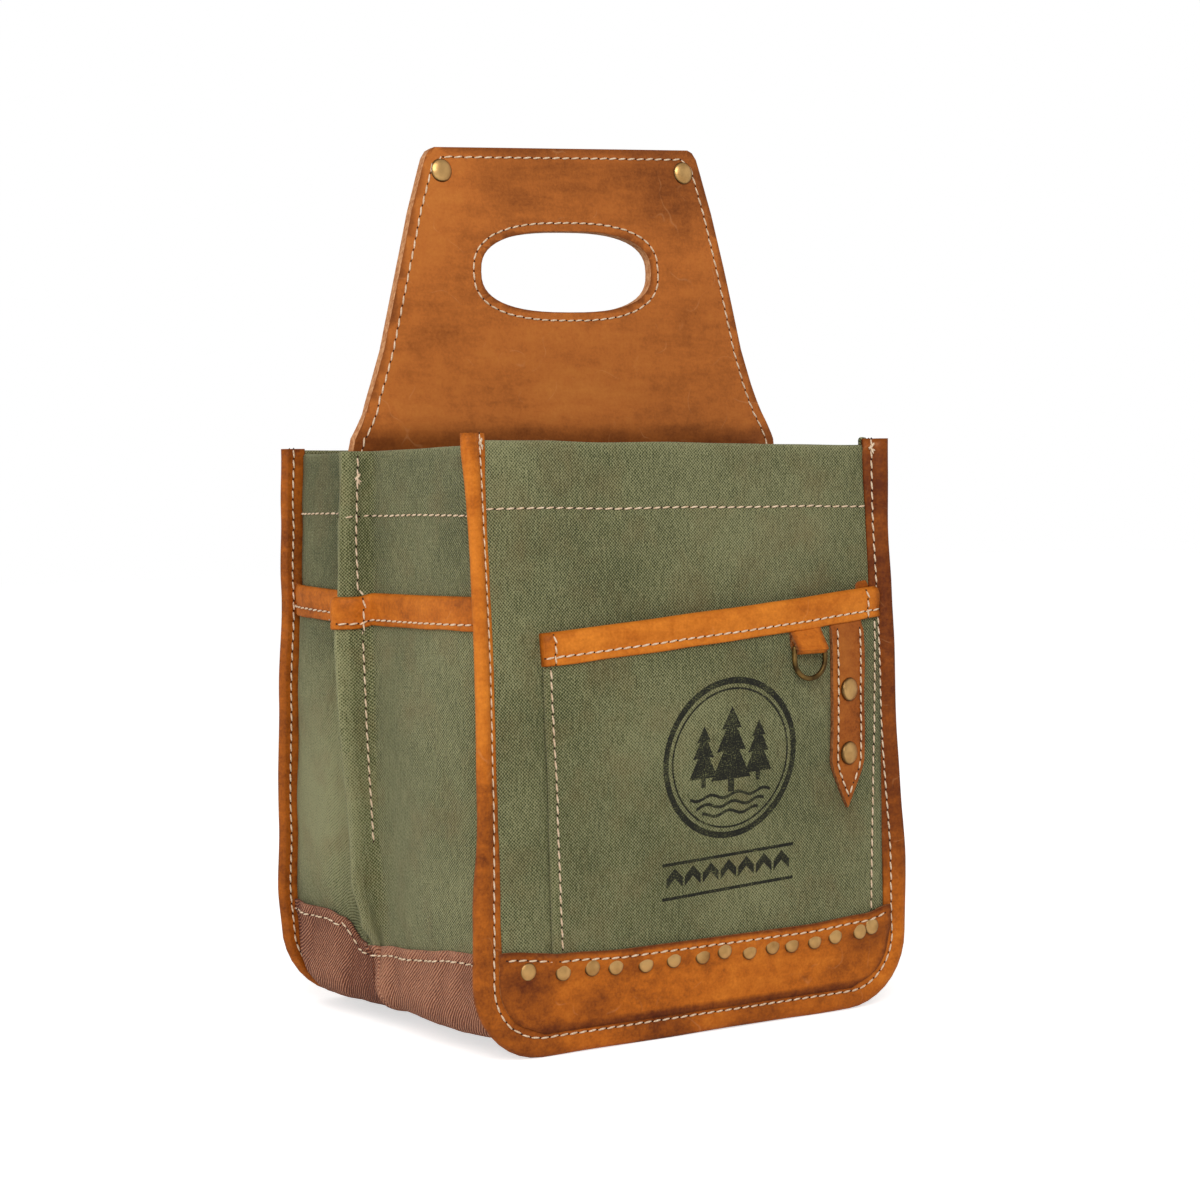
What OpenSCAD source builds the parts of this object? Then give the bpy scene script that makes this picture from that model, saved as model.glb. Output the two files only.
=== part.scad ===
// Six pack carrier: a canvas caddy bound in leather, with a leather handle panel,
// a divided inside, a front pocket, two side pockets and a hanging ring.
// Millimetres, +Z up, front towards -Y, the ground at z = 0.

/* [Body] */
// Width between the side seams at the base
base_w = 193; // [190:1:214]
// Width between the side seams at the rim
rim_w = 187; // [184:1:208]
// Depth between the outer faces of the front and back panels
body_d = 157; // [150:1:190]
// Height of the rim above the ground
rim_z = 241; // [225:1:270]
// Radius of the bottom corners, along the seam
corner_r = 21; // [16:1:28]
// Thickness of one layer of canvas
canvas_t = 1.2; // [0.9:0.1:1.5]
// Depth of the folded hem along the rim
hem_h = 26; // [18:1:32]
// Height of the brown base canvas up the sides
base_top = 43.5; // [40:0.5:46]

/* [Binding] */
// How far the bound seam stands out of the body
flange = 11; // [9:0.5:13]
// Thickness of the leather binding
binding_t = 1.4; // [1:0.1:1.8]
// How far the binding laps onto the front panel
binding_lip = 0.6; // [0.4:0.1:1.5]
// How far the binding's ends stand above the rim
binding_over = 1.2; // [0.4:0.1:3]

/* [Leather band] */
// Height of the band's top edge above the ground, at the middle
band_z = 39.5; // [36:0.5:42]
// How much the band's top edge rises at its ends
band_rise = 4; // [2:0.5:6]
// Thickness of the band
band_t = 1.6; // [1.2:0.1:2]
// Number of rivets along the band
band_rivets_n = 15; // [12:1:15]
// Distance of the first rivet from the left seam
band_rivet_left = 13; // [9:0.5:16]
// Distance of the last rivet from the right seam
band_rivet_right = 5.4; // [5:0.1:9]
// How much closer each pair of rivets stands than the pair before it
band_rivet_close = 0.39; // [0:0.01:0.5]
// Drop of the rivets below the band's top edge
band_rivet_drop = 6.5; // [5.5:0.1:8]
// Radius of a band rivet's head
band_rivet_r = 3.6; // [3:0.1:4]

/* [Handle] */
// Height of the handle above its bend line, along the leather
handle_h = 128; // [118:1:145]
// Width of the handle along its top edge
handle_top_w = 137; // [128:1:150]
// Width where the straight sides end and the flare begins
handle_flare_w = 198; // [188:1:204]
// Height of the flare above the bend line
handle_flare_h = 12; // [8:1:16]
// Width along the bend line
handle_rim_w = 214; // [208:1:217]
// Thickness of the handle, two leather sheets and the board between them
handle_t = 4.2; // [3.6:0.1:4.6]
// Radius of the handle's top corners
handle_corner_r = 5; // [3:0.5:9]
// Length of the hand hole
hole_w = 86; // [78:1:96]
// Height of the hand hole
hole_h = 35; // [32:1:40]
// Drop of the hand hole's centre below the handle's top edge
hole_drop = 54; // [48:1:60]
// Roundness of the hand hole: 2 is an ellipse, more is squarer
hole_round = 2.6; // [2:0.1:4]
// How far the handle leans back at rest, in degrees
handle_lean = 5; // [0:0.5:8]
// Thickness of the board inside the handle
core_t = 0.6; // [0.4:0.1:1]
// Distance from the handle's edges to the board inside it
core_inset = 7; // [6:0.5:9]
// How far the leather reaches below the rim
tail_h = 30; // [20:1:36]
// Radius of a large rivet's head, on the handle and the strap
rivet_r = 5; // [4:0.1:5.5]
// Height of a rivet's head
rivet_dome = 1.8; // [1.2:0.1:2.4]
// Radius of a rivet's post
post_r = 1.5; // [1:0.1:1.8]
// Distance of the handle rivets from the middle
handle_rivet_x = 61; // [54:0.5:62]
// Drop of the handle rivets below the top edge
handle_rivet_drop = 9; // [8:0.5:13]

/* [Side ridge] */
// Reach of the folded ridge on each side, from the middle of the body
ridge_x = 111; // [110:0.5:115]
// Height above the ground where the ridge starts to grow out of the side
ridge_low = 48.5; // [47:0.5:50]
// Height above the ground where the ridge has its full reach
ridge_full = 79; // [72:1:90]

/* [Inside] */
// Thickness of the centre divider
divider_t = 3; // [2:0.1:3.6]
// Distance between the two cross dividers on each side of the centre
cell_w = 62.8; // [62:0.2:70]
// Height of the cross dividers above the ground
cross_top = 168; // [120:1:190]
// Width of the tabs that the cross dividers are sewn on by
tab_w = 8; // [5:0.5:12]
// Thickness of the base board
board_t = 2; // [1.5:0.1:4]

/* [Front pocket] */
// Distance of the pocket's left edge from the middle
pocket_left = 73; // [66:0.5:78]
// Height of the pocket's top edge at its left end
pocket_top_left = 166; // [160:0.5:172]
// Height of the pocket's top edge at its right end
pocket_top_right = 179.5; // [176:0.5:186]
// How far the pocket's mouth stands off the panel
pouch = 6.4; // [5.8:0.1:9]
// Height above the ground where the pocket's slope ends
pocket_bend = 150; // [148:0.5:151]
// Width of the leather that binds a pocket's mouth
mouth_w = 14; // [12:0.5:14.5]

/* [Strap and ring] */
// Distance of the strap from the middle
strap_x = 75; // [72:0.5:78]
// Width of the strap
strap_w = 18; // [15:0.5:20]
// Height above the ground of the strap's shoulders
strap_z = 107.5; // [100:0.5:115]
// Length of the strap's pointed tip
strap_tip = 20.5; // [14:0.5:26]
// Thickness of the strap
strap_t = 2; // [1.4:0.1:2.6]
// Heights above the ground of the strap's lower rivet
strap_rivet_low = 110.5; // [107:0.5:116]
// Distance between the strap's two rivets
strap_rivet_pitch = 27; // [20:0.5:32]
// Distance of the ring from the middle
ring_x = 52; // [46:0.5:54]
// Width of the ring outside
ring_w = 18; // [16:0.5:20]
// Height of the ring outside
ring_h = 15; // [13:0.5:18]
// Radius of the ring's wire
wire_r = 1.1; // [0.9:0.05:1.3]
// Thickness of the leather loop that holds the ring
loop_t = 1.2; // [0.8:0.1:1.4]
// Drop of the ring's bar below the pocket's binding
ring_drop = 6; // [5.5:0.5:9]

/* [Side pockets] */
// Height of the side pockets' top edge above the ground
side_top = 183; // [175:0.5:190]
// How far the sides swell out between the seams
side_swell = 5; // [3:0.5:6.5]
// Length in depth of the slope from each seam to the full swell
swell_run = 14; // [10:1:20]
// How far a side pocket's mouth stands off the side
side_pouch = 6.4; // [5.8:0.1:9]
// Thickness of the leather that binds a pocket's mouth
mouth_t = 1.2; // [0.9:0.1:1.3]

/* [Hidden] */

$fn = 48;
OLIVE = "#6b7551";
BROWN = "#7a5646";
TAN = "#b5651d";
HANDLE_TAN = "#a35a24";
BRASS = "#b08d4f";
BOARD = "#b39b7a";

// Small clearance between neighbouring sewn pieces
sewn_gap = 0.2;
// Running clearance between a bar or a post and its hole
bore_gap = 0.05;
// Clearance between the handle's bend and the leather below it
bend_gap = 0.3;

half_d = body_d / 2;
corner_z = flange + corner_r;
flat_x = base_w / 2 - corner_r;
inner_y = half_d - canvas_t;
allow_y = inner_y - canvas_t;
back_of_binding_y = allow_y - binding_t;
sheet_t = handle_t / 2;
hinge_z = rim_z + bend_gap + sheet_t;
slot_t = handle_t + 2 * sewn_gap;
ridge_t = slot_t + 2 * canvas_t;
tail_low = rim_z - tail_h;
liner_z = flange + sewn_gap + board_t;
floor_z = liner_z + canvas_t;
pocket_face = half_d + pouch + canvas_t;
pocket_right = seam_x(pocket_top_right) - binding_lip - sewn_gap;
side_low = base_top + sewn_gap;
side_bend = side_top - mouth_w - 1;
ridge_slope = (ridge_full - ridge_low) / (ridge_x - root_x(ridge_low));
loop_r = wire_r + bore_gap + loop_t;
bar_y = -pocket_face - loop_r;
bar_z = pocket_mouth_z(ring_x) - mouth_w - ring_drop;
front_reach = -bar_y + loop_r;
back_reach = half_d + band_t;
mid_y = (front_reach - back_reach) / 2;

// Half the width of the body between its seams, at a height above the bottom corners
function seam_x(z) =
    base_w / 2 + (rim_w - base_w) / 2 * (z - corner_z) / (rim_z - corner_z);
// Half the width of the body where a ridge stands on its swollen side
function root_x(z) = seam_x(z) + side_swell;
// Height of the leather band's top edge at a distance from the middle
function band_edge(x) = band_z + band_rise * pow(abs(x) / (base_w / 2), 4);
// Height of the front pocket's top edge at a distance from the middle
function pocket_mouth_z(x) =
    pocket_top_left
    + (pocket_top_right - pocket_top_left) * (x + pocket_left) / (pocket_right + pocket_left);
// Points of an arc around a centre
function arc(centre, r, from, to, steps = 6) =
    [for (i = [0:steps]) let (a = from + (to - from) * i / steps)
        centre + r * [cos(a), sin(a)]];
// A value moved from 0 to 1 as z goes from low to high, and held there
function ramp(z, low, high) = min(max((z - low) / (high - low), 0), 1);

// Moves the body so that its box is centred on the origin
module centred() {
    translate([0, mid_y, 0]) children();
}

// A flat shape in X and Z, stood up as a plate from y0 towards the back
module upright(y0, t) {
    translate([0, y0 + t, 0]) rotate([90, 0, 0]) linear_extrude(t) children();
}

// A flat shape in Y and Z, stood up as a bar from x0 towards the right
module sideways(x0, w) {
    translate([x0, 0, 0]) rotate([90, 0, 90]) linear_extrude(w) children();
}

// Draws a shape and its mirror image on the other side
module both_sides() {
    children();
    mirror([1, 0, 0]) children();
}

// Draws a shape and its mirror image at the back
module both_faces() {
    children();
    mirror([0, 1, 0]) children();
}

// The body's face, with rounded bottom corners, moved out by grow from the seam
module face(grow, top = rim_z) {
    r = corner_r + grow;
    polygon(concat(
        arc([flat_x, corner_z], r, -90, 0, 12),
        [[seam_x(top) + grow, top], [-seam_x(top) - grow, top]],
        arc([-flat_x, corner_z], r, 180, 270, 12)
    ));
}

// The slice of the face between two heights
module face_between(grow, low, high) {
    intersection() {
        face(grow);
        translate([-base_w, low]) square([2 * base_w, high - low]);
    }
}

// A rivet: a domed head on a round post, along +Z, with its seat at the origin
module rivet(r, dome, grip) {
    ball = (r * r + dome * dome) / (2 * dome);
    rotate_extrude() intersection() {
        translate([0, dome - ball]) circle(ball);
        square([r + 1, dome]);
    }
    translate([0, 0, -grip]) cylinder(r = post_r, h = grip + dome / 2);
}

// Front and back panels

function band_rivet_span() = base_w - band_rivet_left - band_rivet_right;
// Place of each band rivet: each pitch is band_rivet_close shorter than the last
function band_rivet_x(i) =
    let (n = band_rivets_n - 1,
        first = band_rivet_span() / n + band_rivet_close * (n - 1) / 2)
    band_rivet_left - base_w / 2 + first * i - band_rivet_close * i * (i - 1) / 2;

module at_band_rivets() {
    for (i = [0:band_rivets_n - 1]) {
        x = band_rivet_x(i);
        translate([x, band_edge(x) - band_rivet_drop]) children();
    }
}

module panel(holes) {
    upright(-half_d, canvas_t) difference() {
        face(flange - binding_t);
        if (holes) at_band_rivets() circle(post_r + bore_gap);
    }
    upright(-inner_y, canvas_t)
        face_between(-canvas_t - sewn_gap, rim_z - hem_h, rim_z);
}
module front_panel() {
    color(OLIVE) panel(true);
}
module back_panel() {
    color(OLIVE) mirror([0, 1, 0]) panel(false);
}

// Gussets: the right side, which is mirrored for the left

// A strip that follows the side seam between two heights, from in to out beside it
module seam_strip(from, to, low, high) {
    polygon([
        [seam_x(low) + from, low], [seam_x(high) + from, high],
        [seam_x(high) + to, high], [seam_x(low) + to, low]
    ]);
}

// Shears the right side outwards with depth, from the front binding's back inwards
module on_slope() {
    slope = side_swell / swell_run;
    multmatrix([
        [1, slope, 0, slope * back_of_binding_y],
        [0, 1, 0, 0],
        [0, 0, 1, 0]
    ]) children();
}

// A profile of the right side, swollen between the seams, from y0 to y1 on both faces
module swollen(y0, y1 = 0) {
    start = min(y0, back_of_binding_y);
    full = back_of_binding_y - swell_run;
    if (y0 > start) both_faces() upright(-y0, y0 - start) children();
    both_faces() on_slope() upright(-start, start - full) children();
    if (y1 > 0) both_faces() upright(-full, full - y1) translate([side_swell, 0]) children();
    else upright(-full, 2 * full) translate([side_swell, 0]) children();
}

// The ridge seen from the front, grown by a layer's thickness, from inner beside the seam
module ridge_shape(grow, inner, top) {
    low = ridge_low - grow * sqrt(1 + ridge_slope * ridge_slope);
    polygon([
        [root_x(low) + inner, low], [root_x(low), low],
        [ridge_x + grow, low + ridge_slope * (ridge_x + grow - root_x(low))],
        [ridge_x + grow, top], [root_x(top) + inner, top]
    ]);
}

module gusset() {
    difference() {
        union() {
            swollen(inner_y) seam_strip(-canvas_t, 0, corner_z, rim_z);
            both_faces() upright(-inner_y, canvas_t)
                seam_strip(-canvas_t, flange - binding_t, base_top + sewn_gap, rim_z);
            swollen(allow_y - sewn_gap)
                seam_strip(-2 * canvas_t, -canvas_t / 2, rim_z - hem_h, rim_z);
            upright(-ridge_t / 2, ridge_t) ridge_shape(0, -canvas_t / 2, rim_z);
        }
        upright(-slot_t / 2, slot_t) ridge_shape(-canvas_t, -3 * canvas_t, rim_z + 1);
    }
}
module right_gusset() {
    color(OLIVE) gusset();
}
module left_gusset() {
    color(OLIVE) mirror([1, 0, 0]) gusset();
}

// The brown canvas that goes under the body and up both sides
module base_gusset() {
    color(BROWN) {
        both_sides() swollen(inner_y) difference() {
            face_between(canvas_t, 0, base_top);
            face(0);
            translate([-2 * base_w - side_swell, -base_w]) square(2 * base_w);
        }
        both_faces() upright(-inner_y, canvas_t) difference() {
            face_between(flange - binding_t, 0, base_top);
            face(0);
        }
    }
}

// Leather binding, folded over the seam around each panel

module binding() {
    top = rim_z + binding_over;
    difference() {
        upright(-half_d - binding_t, 2 * canvas_t + 2 * binding_t) difference() {
            face(flange, top);
            face(-binding_lip, top + 1);
        }
        upright(-half_d, 2 * canvas_t) face(flange - binding_t, top + 1);
        upright(-allow_y, binding_t + 1) face(canvas_t + sewn_gap, top + 1);
    }
}
module front_binding() {
    color(TAN) binding();
}
module back_binding() {
    color(TAN) mirror([0, 1, 0]) binding();
}

// Leather band across the foot of each panel

// The area below the band's top edge, moved up by grow
module below_band_edge(grow = 0) {
    steps = 16;
    reach = base_w / 2;
    polygon(concat(
        [[reach, 0], [-reach, 0]],
        [for (i = [0:steps]) let (x = reach * (2 * i / steps - 1)) [x, band_edge(x) + grow]]
    ));
}
module band(holes) {
    upright(-half_d - band_t, band_t) difference() {
        intersection() {
            face(-binding_lip - sewn_gap);
            below_band_edge();
        }
        if (holes) at_band_rivets() circle(post_r + bore_gap);
    }
}
module front_band() {
    color(TAN) band(true);
}
module back_band() {
    color(TAN) mirror([0, 1, 0]) band(false);
}
module band_rivets() {
    color(BRASS) translate([0, -half_d - band_t, 0]) rotate([90, 0, 0])
        at_band_rivets() rivet(band_rivet_r, rivet_dome, band_t + canvas_t);
}

// Front pocket

// The space from the front panel out to the pocket's layer, seen from the side
module pocket_wedge(out) {
    low = band_z;
    bend = pocket_bend;
    top = pocket_top_right + 1;
    polygon([
        [-half_d, low - 1], [-half_d - out, low - 1], [-half_d - out, low],
        [-half_d - out - pouch, bend], [-half_d - out - pouch, top], [-half_d, top]
    ]);
}
// The hollow behind the pocket's layer
module pocket_hollow() {
    polygon([
        [-half_d, band_z], [-half_d - pouch, pocket_bend],
        [-half_d - pouch, pocket_top_right + 1], [-half_d, pocket_top_right + 1]
    ]);
}

// The pocket seen from the front, with its sides moved in and its top moved down
module pocket_shape(inset, drop) {
    right_low = seam_x(band_z) - binding_lip - sewn_gap;
    difference() {
        polygon([
            [-pocket_left + inset, band_z - 1],
            [-pocket_left + inset, pocket_mouth_z(-pocket_left + inset) - drop],
            [pocket_right - inset, pocket_mouth_z(pocket_right - inset) - drop],
            [right_low - inset, band_z - 1]
        ]);
        below_band_edge(sewn_gap);
    }
}
module front_pocket() {
    reach = pocket_face + 1;
    above_mouth = -5;
    color(OLIVE) difference() {
        intersection() {
            upright(-reach, reach - half_d) pocket_shape(0, mouth_t);
            sideways(-base_w, 2 * base_w) pocket_wedge(canvas_t);
        }
        intersection() {
            upright(-reach, reach) pocket_shape(canvas_t, above_mouth);
            sideways(-base_w, 2 * base_w) pocket_hollow();
        }
        at_strap_rivets() cylinder(r = post_r + bore_gap, h = 4 * canvas_t, center = true);
    }
}

// A strip along the pocket's sloping top edge, between two drops below it
module mouth_strip(from, to, left, right) {
    polygon([
        [left, pocket_mouth_z(left) - to], [left, pocket_mouth_z(left) - from],
        [right, pocket_mouth_z(right) - from], [right, pocket_mouth_z(right) - to]
    ]);
}
module front_pocket_binding() {
    left = -pocket_left;
    right = pocket_right;
    side = canvas_t + sewn_gap;
    color(TAN) difference() {
        upright(-pocket_face - mouth_t, canvas_t + 2 * mouth_t)
            mouth_strip(0, mouth_w, left, right);
        upright(-pocket_face, canvas_t) mouth_strip(mouth_t, mouth_w + 1, left - 1, right + 1);
        for (x = [[left - 1, left + side], [right - side, right + 1]])
            upright(-pocket_face, canvas_t + 2 * mouth_t)
                mouth_strip(mouth_t, mouth_w + 1, x[0], x[1]);
    }
}

// Strap with a pointed tip, riveted on the front pocket

// The pocket's slope, and a point on its outer face at a height
pocket_tilt = atan(pouch / (pocket_bend - band_z));
function pocket_y(z) = -half_d - canvas_t - pouch * ramp(z, band_z, pocket_bend);

module at_strap_rivets() {
    for (i = [0:1]) {
        z = strap_rivet_low + i * strap_rivet_pitch;
        translate([strap_x, pocket_y(z), z]) rotate([90 + pocket_tilt, 0, 0]) children();
    }
}
module strap_shape() {
    left = strap_x - strap_w / 2;
    right = strap_x + strap_w / 2;
    polygon([
        [strap_x, strap_z - strap_tip], [right, strap_z],
        [right, pocket_mouth_z(right) - mouth_w - sewn_gap],
        [left, pocket_mouth_z(left) - mouth_w - sewn_gap], [left, strap_z]
    ]);
}
module strap() {
    reach = pocket_face + strap_t + 1;
    color(TAN) difference() {
        intersection() {
            upright(-reach, reach) strap_shape();
            sideways(0, base_w) pocket_wedge(canvas_t + strap_t);
        }
        sideways(-base_w, 3 * base_w) pocket_wedge(canvas_t);
        at_strap_rivets() cylinder(r = post_r + bore_gap, h = 6 * strap_t, center = true);
    }
}
module strap_rivets() {
    color(BRASS) at_strap_rivets() translate([0, 0, strap_t])
        rivet(rivet_r, rivet_dome, strap_t + canvas_t);
}

// Ring and the leather loop that it hangs in

module ring_tab() {
    half_w = ring_w / 2 - 2 * wire_r - sewn_gap;
    top = pocket_mouth_z(ring_x - half_w) - mouth_w - sewn_gap;
    color(TAN) sideways(ring_x - half_w, 2 * half_w) difference() {
        union() {
            translate([bar_y, bar_z]) circle(loop_r);
            polygon([
                [-pocket_face, bar_z], [-pocket_face, top],
                [-pocket_face - 2 * loop_t, top], [bar_y - loop_r, bar_z]
            ]);
        }
        translate([bar_y, bar_z]) circle(wire_r + bore_gap);
    }
}
module d_ring() {
    bend_r = ring_w / 2 - wire_r;
    leg = ring_h - 2 * wire_r - bend_r;
    color(BRASS) translate([ring_x, bar_y, bar_z]) {
        rotate([0, 90, 0]) cylinder(r = wire_r, h = 2 * bend_r, center = true);
        both_sides() {
            translate([bend_r, 0, 0]) sphere(wire_r);
            translate([bend_r, 0, -leg]) cylinder(r = wire_r, h = leg);
        }
        translate([0, 0, -leg]) rotate([-90, 0, 0])
            rotate_extrude(angle = 180) translate([bend_r, 0]) circle(wire_r);
    }
}

// Side pockets: the right side, which is mirrored for the left

// How far a side pocket stands off the side at a height
function side_off(z) = side_pouch * ramp(z, side_low, side_bend);

// A layer of the pocket's outer wall, from in to out beside its inner face
module side_layer(from, to, low, high) {
    polygon([
        for (z = [low, side_bend, high]) [seam_x(z) + side_off(z) + from, z],
        for (z = [high, side_bend, low]) [seam_x(z) + side_off(z) + to, z]
    ]);
}
module side_pocket() {
    top = side_top - mouth_t;
    front = back_of_binding_y - sewn_gap;
    ridge = ridge_t / 2 + canvas_t;
    swollen(front, ridge - canvas_t) side_layer(0, canvas_t, side_low, top);
    both_faces() on_slope() upright(-front, canvas_t) polygon([
        [seam_x(side_low), side_low], [seam_x(top), top],
        [seam_x(top) + side_pouch + canvas_t, top],
        [seam_x(side_bend) + side_pouch + canvas_t, side_bend],
        [seam_x(side_low) + canvas_t, side_low]
    ]);
    difference() {
        upright(-ridge, 2 * ridge) ridge_shape(canvas_t, -canvas_t, top);
        upright(-ridge_t / 2, ridge_t) ridge_shape(0, -flange, rim_z);
        upright(-ridge - 1, 2 * ridge + 2) seam_strip(-flange, side_swell, side_low, rim_z);
    }
}
module right_side_pocket() {
    color(OLIVE) side_pocket();
}
module left_side_pocket() {
    color(OLIVE) mirror([1, 0, 0]) side_pocket();
}

// A block around the ridge at the pocket's mouth
module ridge_block(x0, grow, low, high) {
    y = ridge_t / 2 + grow;
    translate([x0, -y, low]) cube([ridge_x + grow - x0, 2 * y, high - low]);
}
module side_pocket_binding() {
    front = back_of_binding_y - sewn_gap;
    ridge = ridge_t / 2 + canvas_t;
    low = side_top - mouth_w;
    web = side_top - mouth_t;
    x0 = root_x(low) + side_pouch + canvas_t;
    difference() {
        swollen(front, ridge) side_layer(-mouth_t, canvas_t + mouth_t, low, side_top);
        swollen(front + 1, ridge - 1) side_layer(0, canvas_t, low - 1, web);
        both_faces() on_slope() upright(-front - 1, 1 + canvas_t + sewn_gap)
            side_layer(-mouth_t - 1, canvas_t, low - 1, web);
    }
    difference() {
        ridge_block(x0, canvas_t + mouth_t, low, side_top);
        ridge_block(x0 - 1, canvas_t, low - 1, web);
        ridge_block(x0 - 1, sewn_gap, low - 1, side_top + 1);
    }
}
module right_side_pocket_binding() {
    color(TAN) side_pocket_binding();
}
module left_side_pocket_binding() {
    color(TAN) mirror([1, 0, 0]) side_pocket_binding();
}

// Handle: two leather sheets over a board, bent at the rim

// The handle's outline above its bend line, moved in by inset
module handle_shape(inset, low = 0) {
    top = handle_h - inset;
    tilt = atan((handle_flare_w - handle_top_w) / 2 / (handle_h - handle_flare_h));
    half_top = handle_top_w / 2 - inset * (1 - sin(tilt)) / cos(tilt);
    half_flare = handle_flare_w / 2 - inset / cos(tilt);
    half_rim = handle_rim_w / 2 - inset;
    r = max(handle_corner_r - inset, 1);
    centre = [half_top - r * (1 - sin(tilt)) / cos(tilt), top - r];
    polygon(concat(
        [[-half_rim, low], [half_rim, low], [half_flare, handle_flare_h]],
        arc(centre, r, tilt, 90),
        arc([-centre.x, centre.y], r, 90, 180 - tilt),
        [[-half_flare, handle_flare_h]]
    ));
}
// The hand hole, moved out by grow
module hand_hole(grow) {
    steps = 48;
    a = hole_w / 2 + grow;
    b = hole_h / 2 + grow;
    translate([0, handle_h - hole_drop]) polygon([
        for (i = [0:steps - 1]) let (t = 360 * i / steps)
            [a * sign(cos(t)) * pow(abs(cos(t)), 2 / hole_round),
            b * sign(sin(t)) * pow(abs(sin(t)), 2 / hole_round)]
    ]);
}
module at_handle_rivets() {
    both_sides() translate([handle_rivet_x, 0, handle_h - handle_rivet_drop])
        rotate([90, 0, 0]) children();
}
// Stands the handle on its hinge line, leaning back
module on_hinge() {
    translate([0, 0, hinge_z]) rotate([-handle_lean, 0, 0]) children();
}
// One leather sheet, on the front side of the handle's middle plane
module handle_sheet() {
    difference() {
        union() {
            upright(-sheet_t, sheet_t) handle_shape(0);
            intersection() {
                rotate([0, 90, 0])
                    cylinder(r = sheet_t, h = handle_rim_w, center = true);
                translate([-handle_rim_w, -handle_t, -handle_t])
                    cube([2 * handle_rim_w, handle_t, handle_t + 0.5]);
            }
        }
        upright(-sheet_t - 1, sheet_t + 2) hand_hole(0);
        upright(-core_t / 2 - bore_gap, core_t) difference() {
            handle_shape(core_inset - sewn_gap, core_inset - sewn_gap);
            hand_hole(core_inset - sewn_gap);
        }
        at_handle_rivets() cylinder(r = post_r + bore_gap, h = 2 * handle_t, center = true);
    }
}
module handle_front() {
    color(HANDLE_TAN) on_hinge() handle_sheet();
}
module handle_back() {
    color(HANDLE_TAN) on_hinge() mirror([0, 1, 0]) handle_sheet();
}
module handle_board() {
    color(BOARD) on_hinge() difference() {
        upright(-core_t / 2, core_t) difference() {
            handle_shape(core_inset, core_inset);
            hand_hole(core_inset);
        }
        at_handle_rivets() cylinder(r = post_r + bore_gap, h = 2 * handle_t, center = true);
    }
}
module handle_rivets() {
    cap_t = 0.8;
    color(BRASS) on_hinge() at_handle_rivets() {
        translate([0, 0, sheet_t]) rivet(rivet_r, rivet_dome, handle_t);
        translate([0, 0, -sheet_t - cap_t]) cylinder(r = rivet_r - 0.5, h = cap_t);
    }
}
module handle_tail() {
    half_w = ridge_x - canvas_t - sewn_gap;
    upright(-sheet_t, sheet_t - core_t / 2)
        translate([-half_w, tail_low]) square([2 * half_w, tail_h]);
}
module handle_tail_front() {
    color(HANDLE_TAN) handle_tail();
}
module handle_tail_back() {
    color(HANDLE_TAN) mirror([0, 1, 0]) handle_tail();
}

// Inside: centre divider, cross dividers, base board and its liner

module centre_divider() {
    color(OLIVE) {
        upright(-divider_t / 2, divider_t) {
            face_between(-canvas_t - sewn_gap, floor_z + sewn_gap, tail_low - sewn_gap);
            both_sides() intersection() {
                ridge_shape(-canvas_t - sewn_gap, -rim_w / 4, rim_z);
                square([base_w, tail_low - sewn_gap]);
            }
        }
        upright(-core_t / 2, core_t)
            translate([-rim_w / 2 + 4 * canvas_t, tail_low - 1])
                square([rim_w - 8 * canvas_t, tail_h + 1]);
    }
}
// A cross divider on the front right, with a tab at each end
module cross_divider() {
    near = divider_t / 2;
    low = floor_z + sewn_gap;
    color(OLIVE) translate([cell_w / 2 - canvas_t / 2, 0, low])
        linear_extrude(cross_top - low) {
            translate([0, -inner_y]) square([canvas_t, inner_y - near]);
            translate([0, -inner_y]) square([tab_w, canvas_t]);
            translate([0, -near - canvas_t]) square([tab_w, canvas_t]);
        }
}
module front_right_divider() {
    cross_divider();
}
module front_left_divider() {
    mirror([1, 0, 0]) cross_divider();
}
module back_right_divider() {
    mirror([0, 1, 0]) cross_divider();
}
module back_left_divider() {
    mirror([1, 0, 0]) mirror([0, 1, 0]) cross_divider();
}
module base_board() {
    color(BOARD) upright(-inner_y + sewn_gap, 2 * inner_y - 2 * sewn_gap)
        face_between(-sewn_gap, 0, liner_z);
}
module base_liner() {
    color(BROWN) upright(-inner_y + sewn_gap, 2 * inner_y - 2 * sewn_gap)
        face_between(-sewn_gap, liner_z, floor_z);
}

centred() front_panel();
centred() back_panel();
centred() left_gusset();
centred() right_gusset();
centred() base_gusset();
centred() front_binding();
centred() back_binding();
centred() front_band();
centred() back_band();
centred() band_rivets();
centred() front_pocket();
centred() front_pocket_binding();
centred() strap();
centred() strap_rivets();
centred() ring_tab();
centred() d_ring();
centred() left_side_pocket();
centred() right_side_pocket();
centred() left_side_pocket_binding();
centred() right_side_pocket_binding();
centred() handle_front();
centred() handle_back();
centred() handle_board();
centred() handle_rivets();
centred() handle_tail_front();
centred() handle_tail_back();
centred() centre_divider();
centred() front_left_divider();
centred() front_right_divider();
centred() back_left_divider();
centred() back_right_divider();
centred() base_board();
centred() base_liner();
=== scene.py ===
"""Looks of a canvas bottle carrier: olive canvas, tan leather, cream thread and aged brass.

Sizes are in millimetres in the bag's own frame: x to the right, y to the back from the centre
divider, z up from the ground. The function at() turns them into the row frame's metres.
"""

import logging
import math
from collections.abc import Callable, Sequence
from dataclasses import dataclass
from enum import Enum
from itertools import accumulate

import bmesh
import bpy
from mathutils import Matrix, Vector, noise


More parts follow.
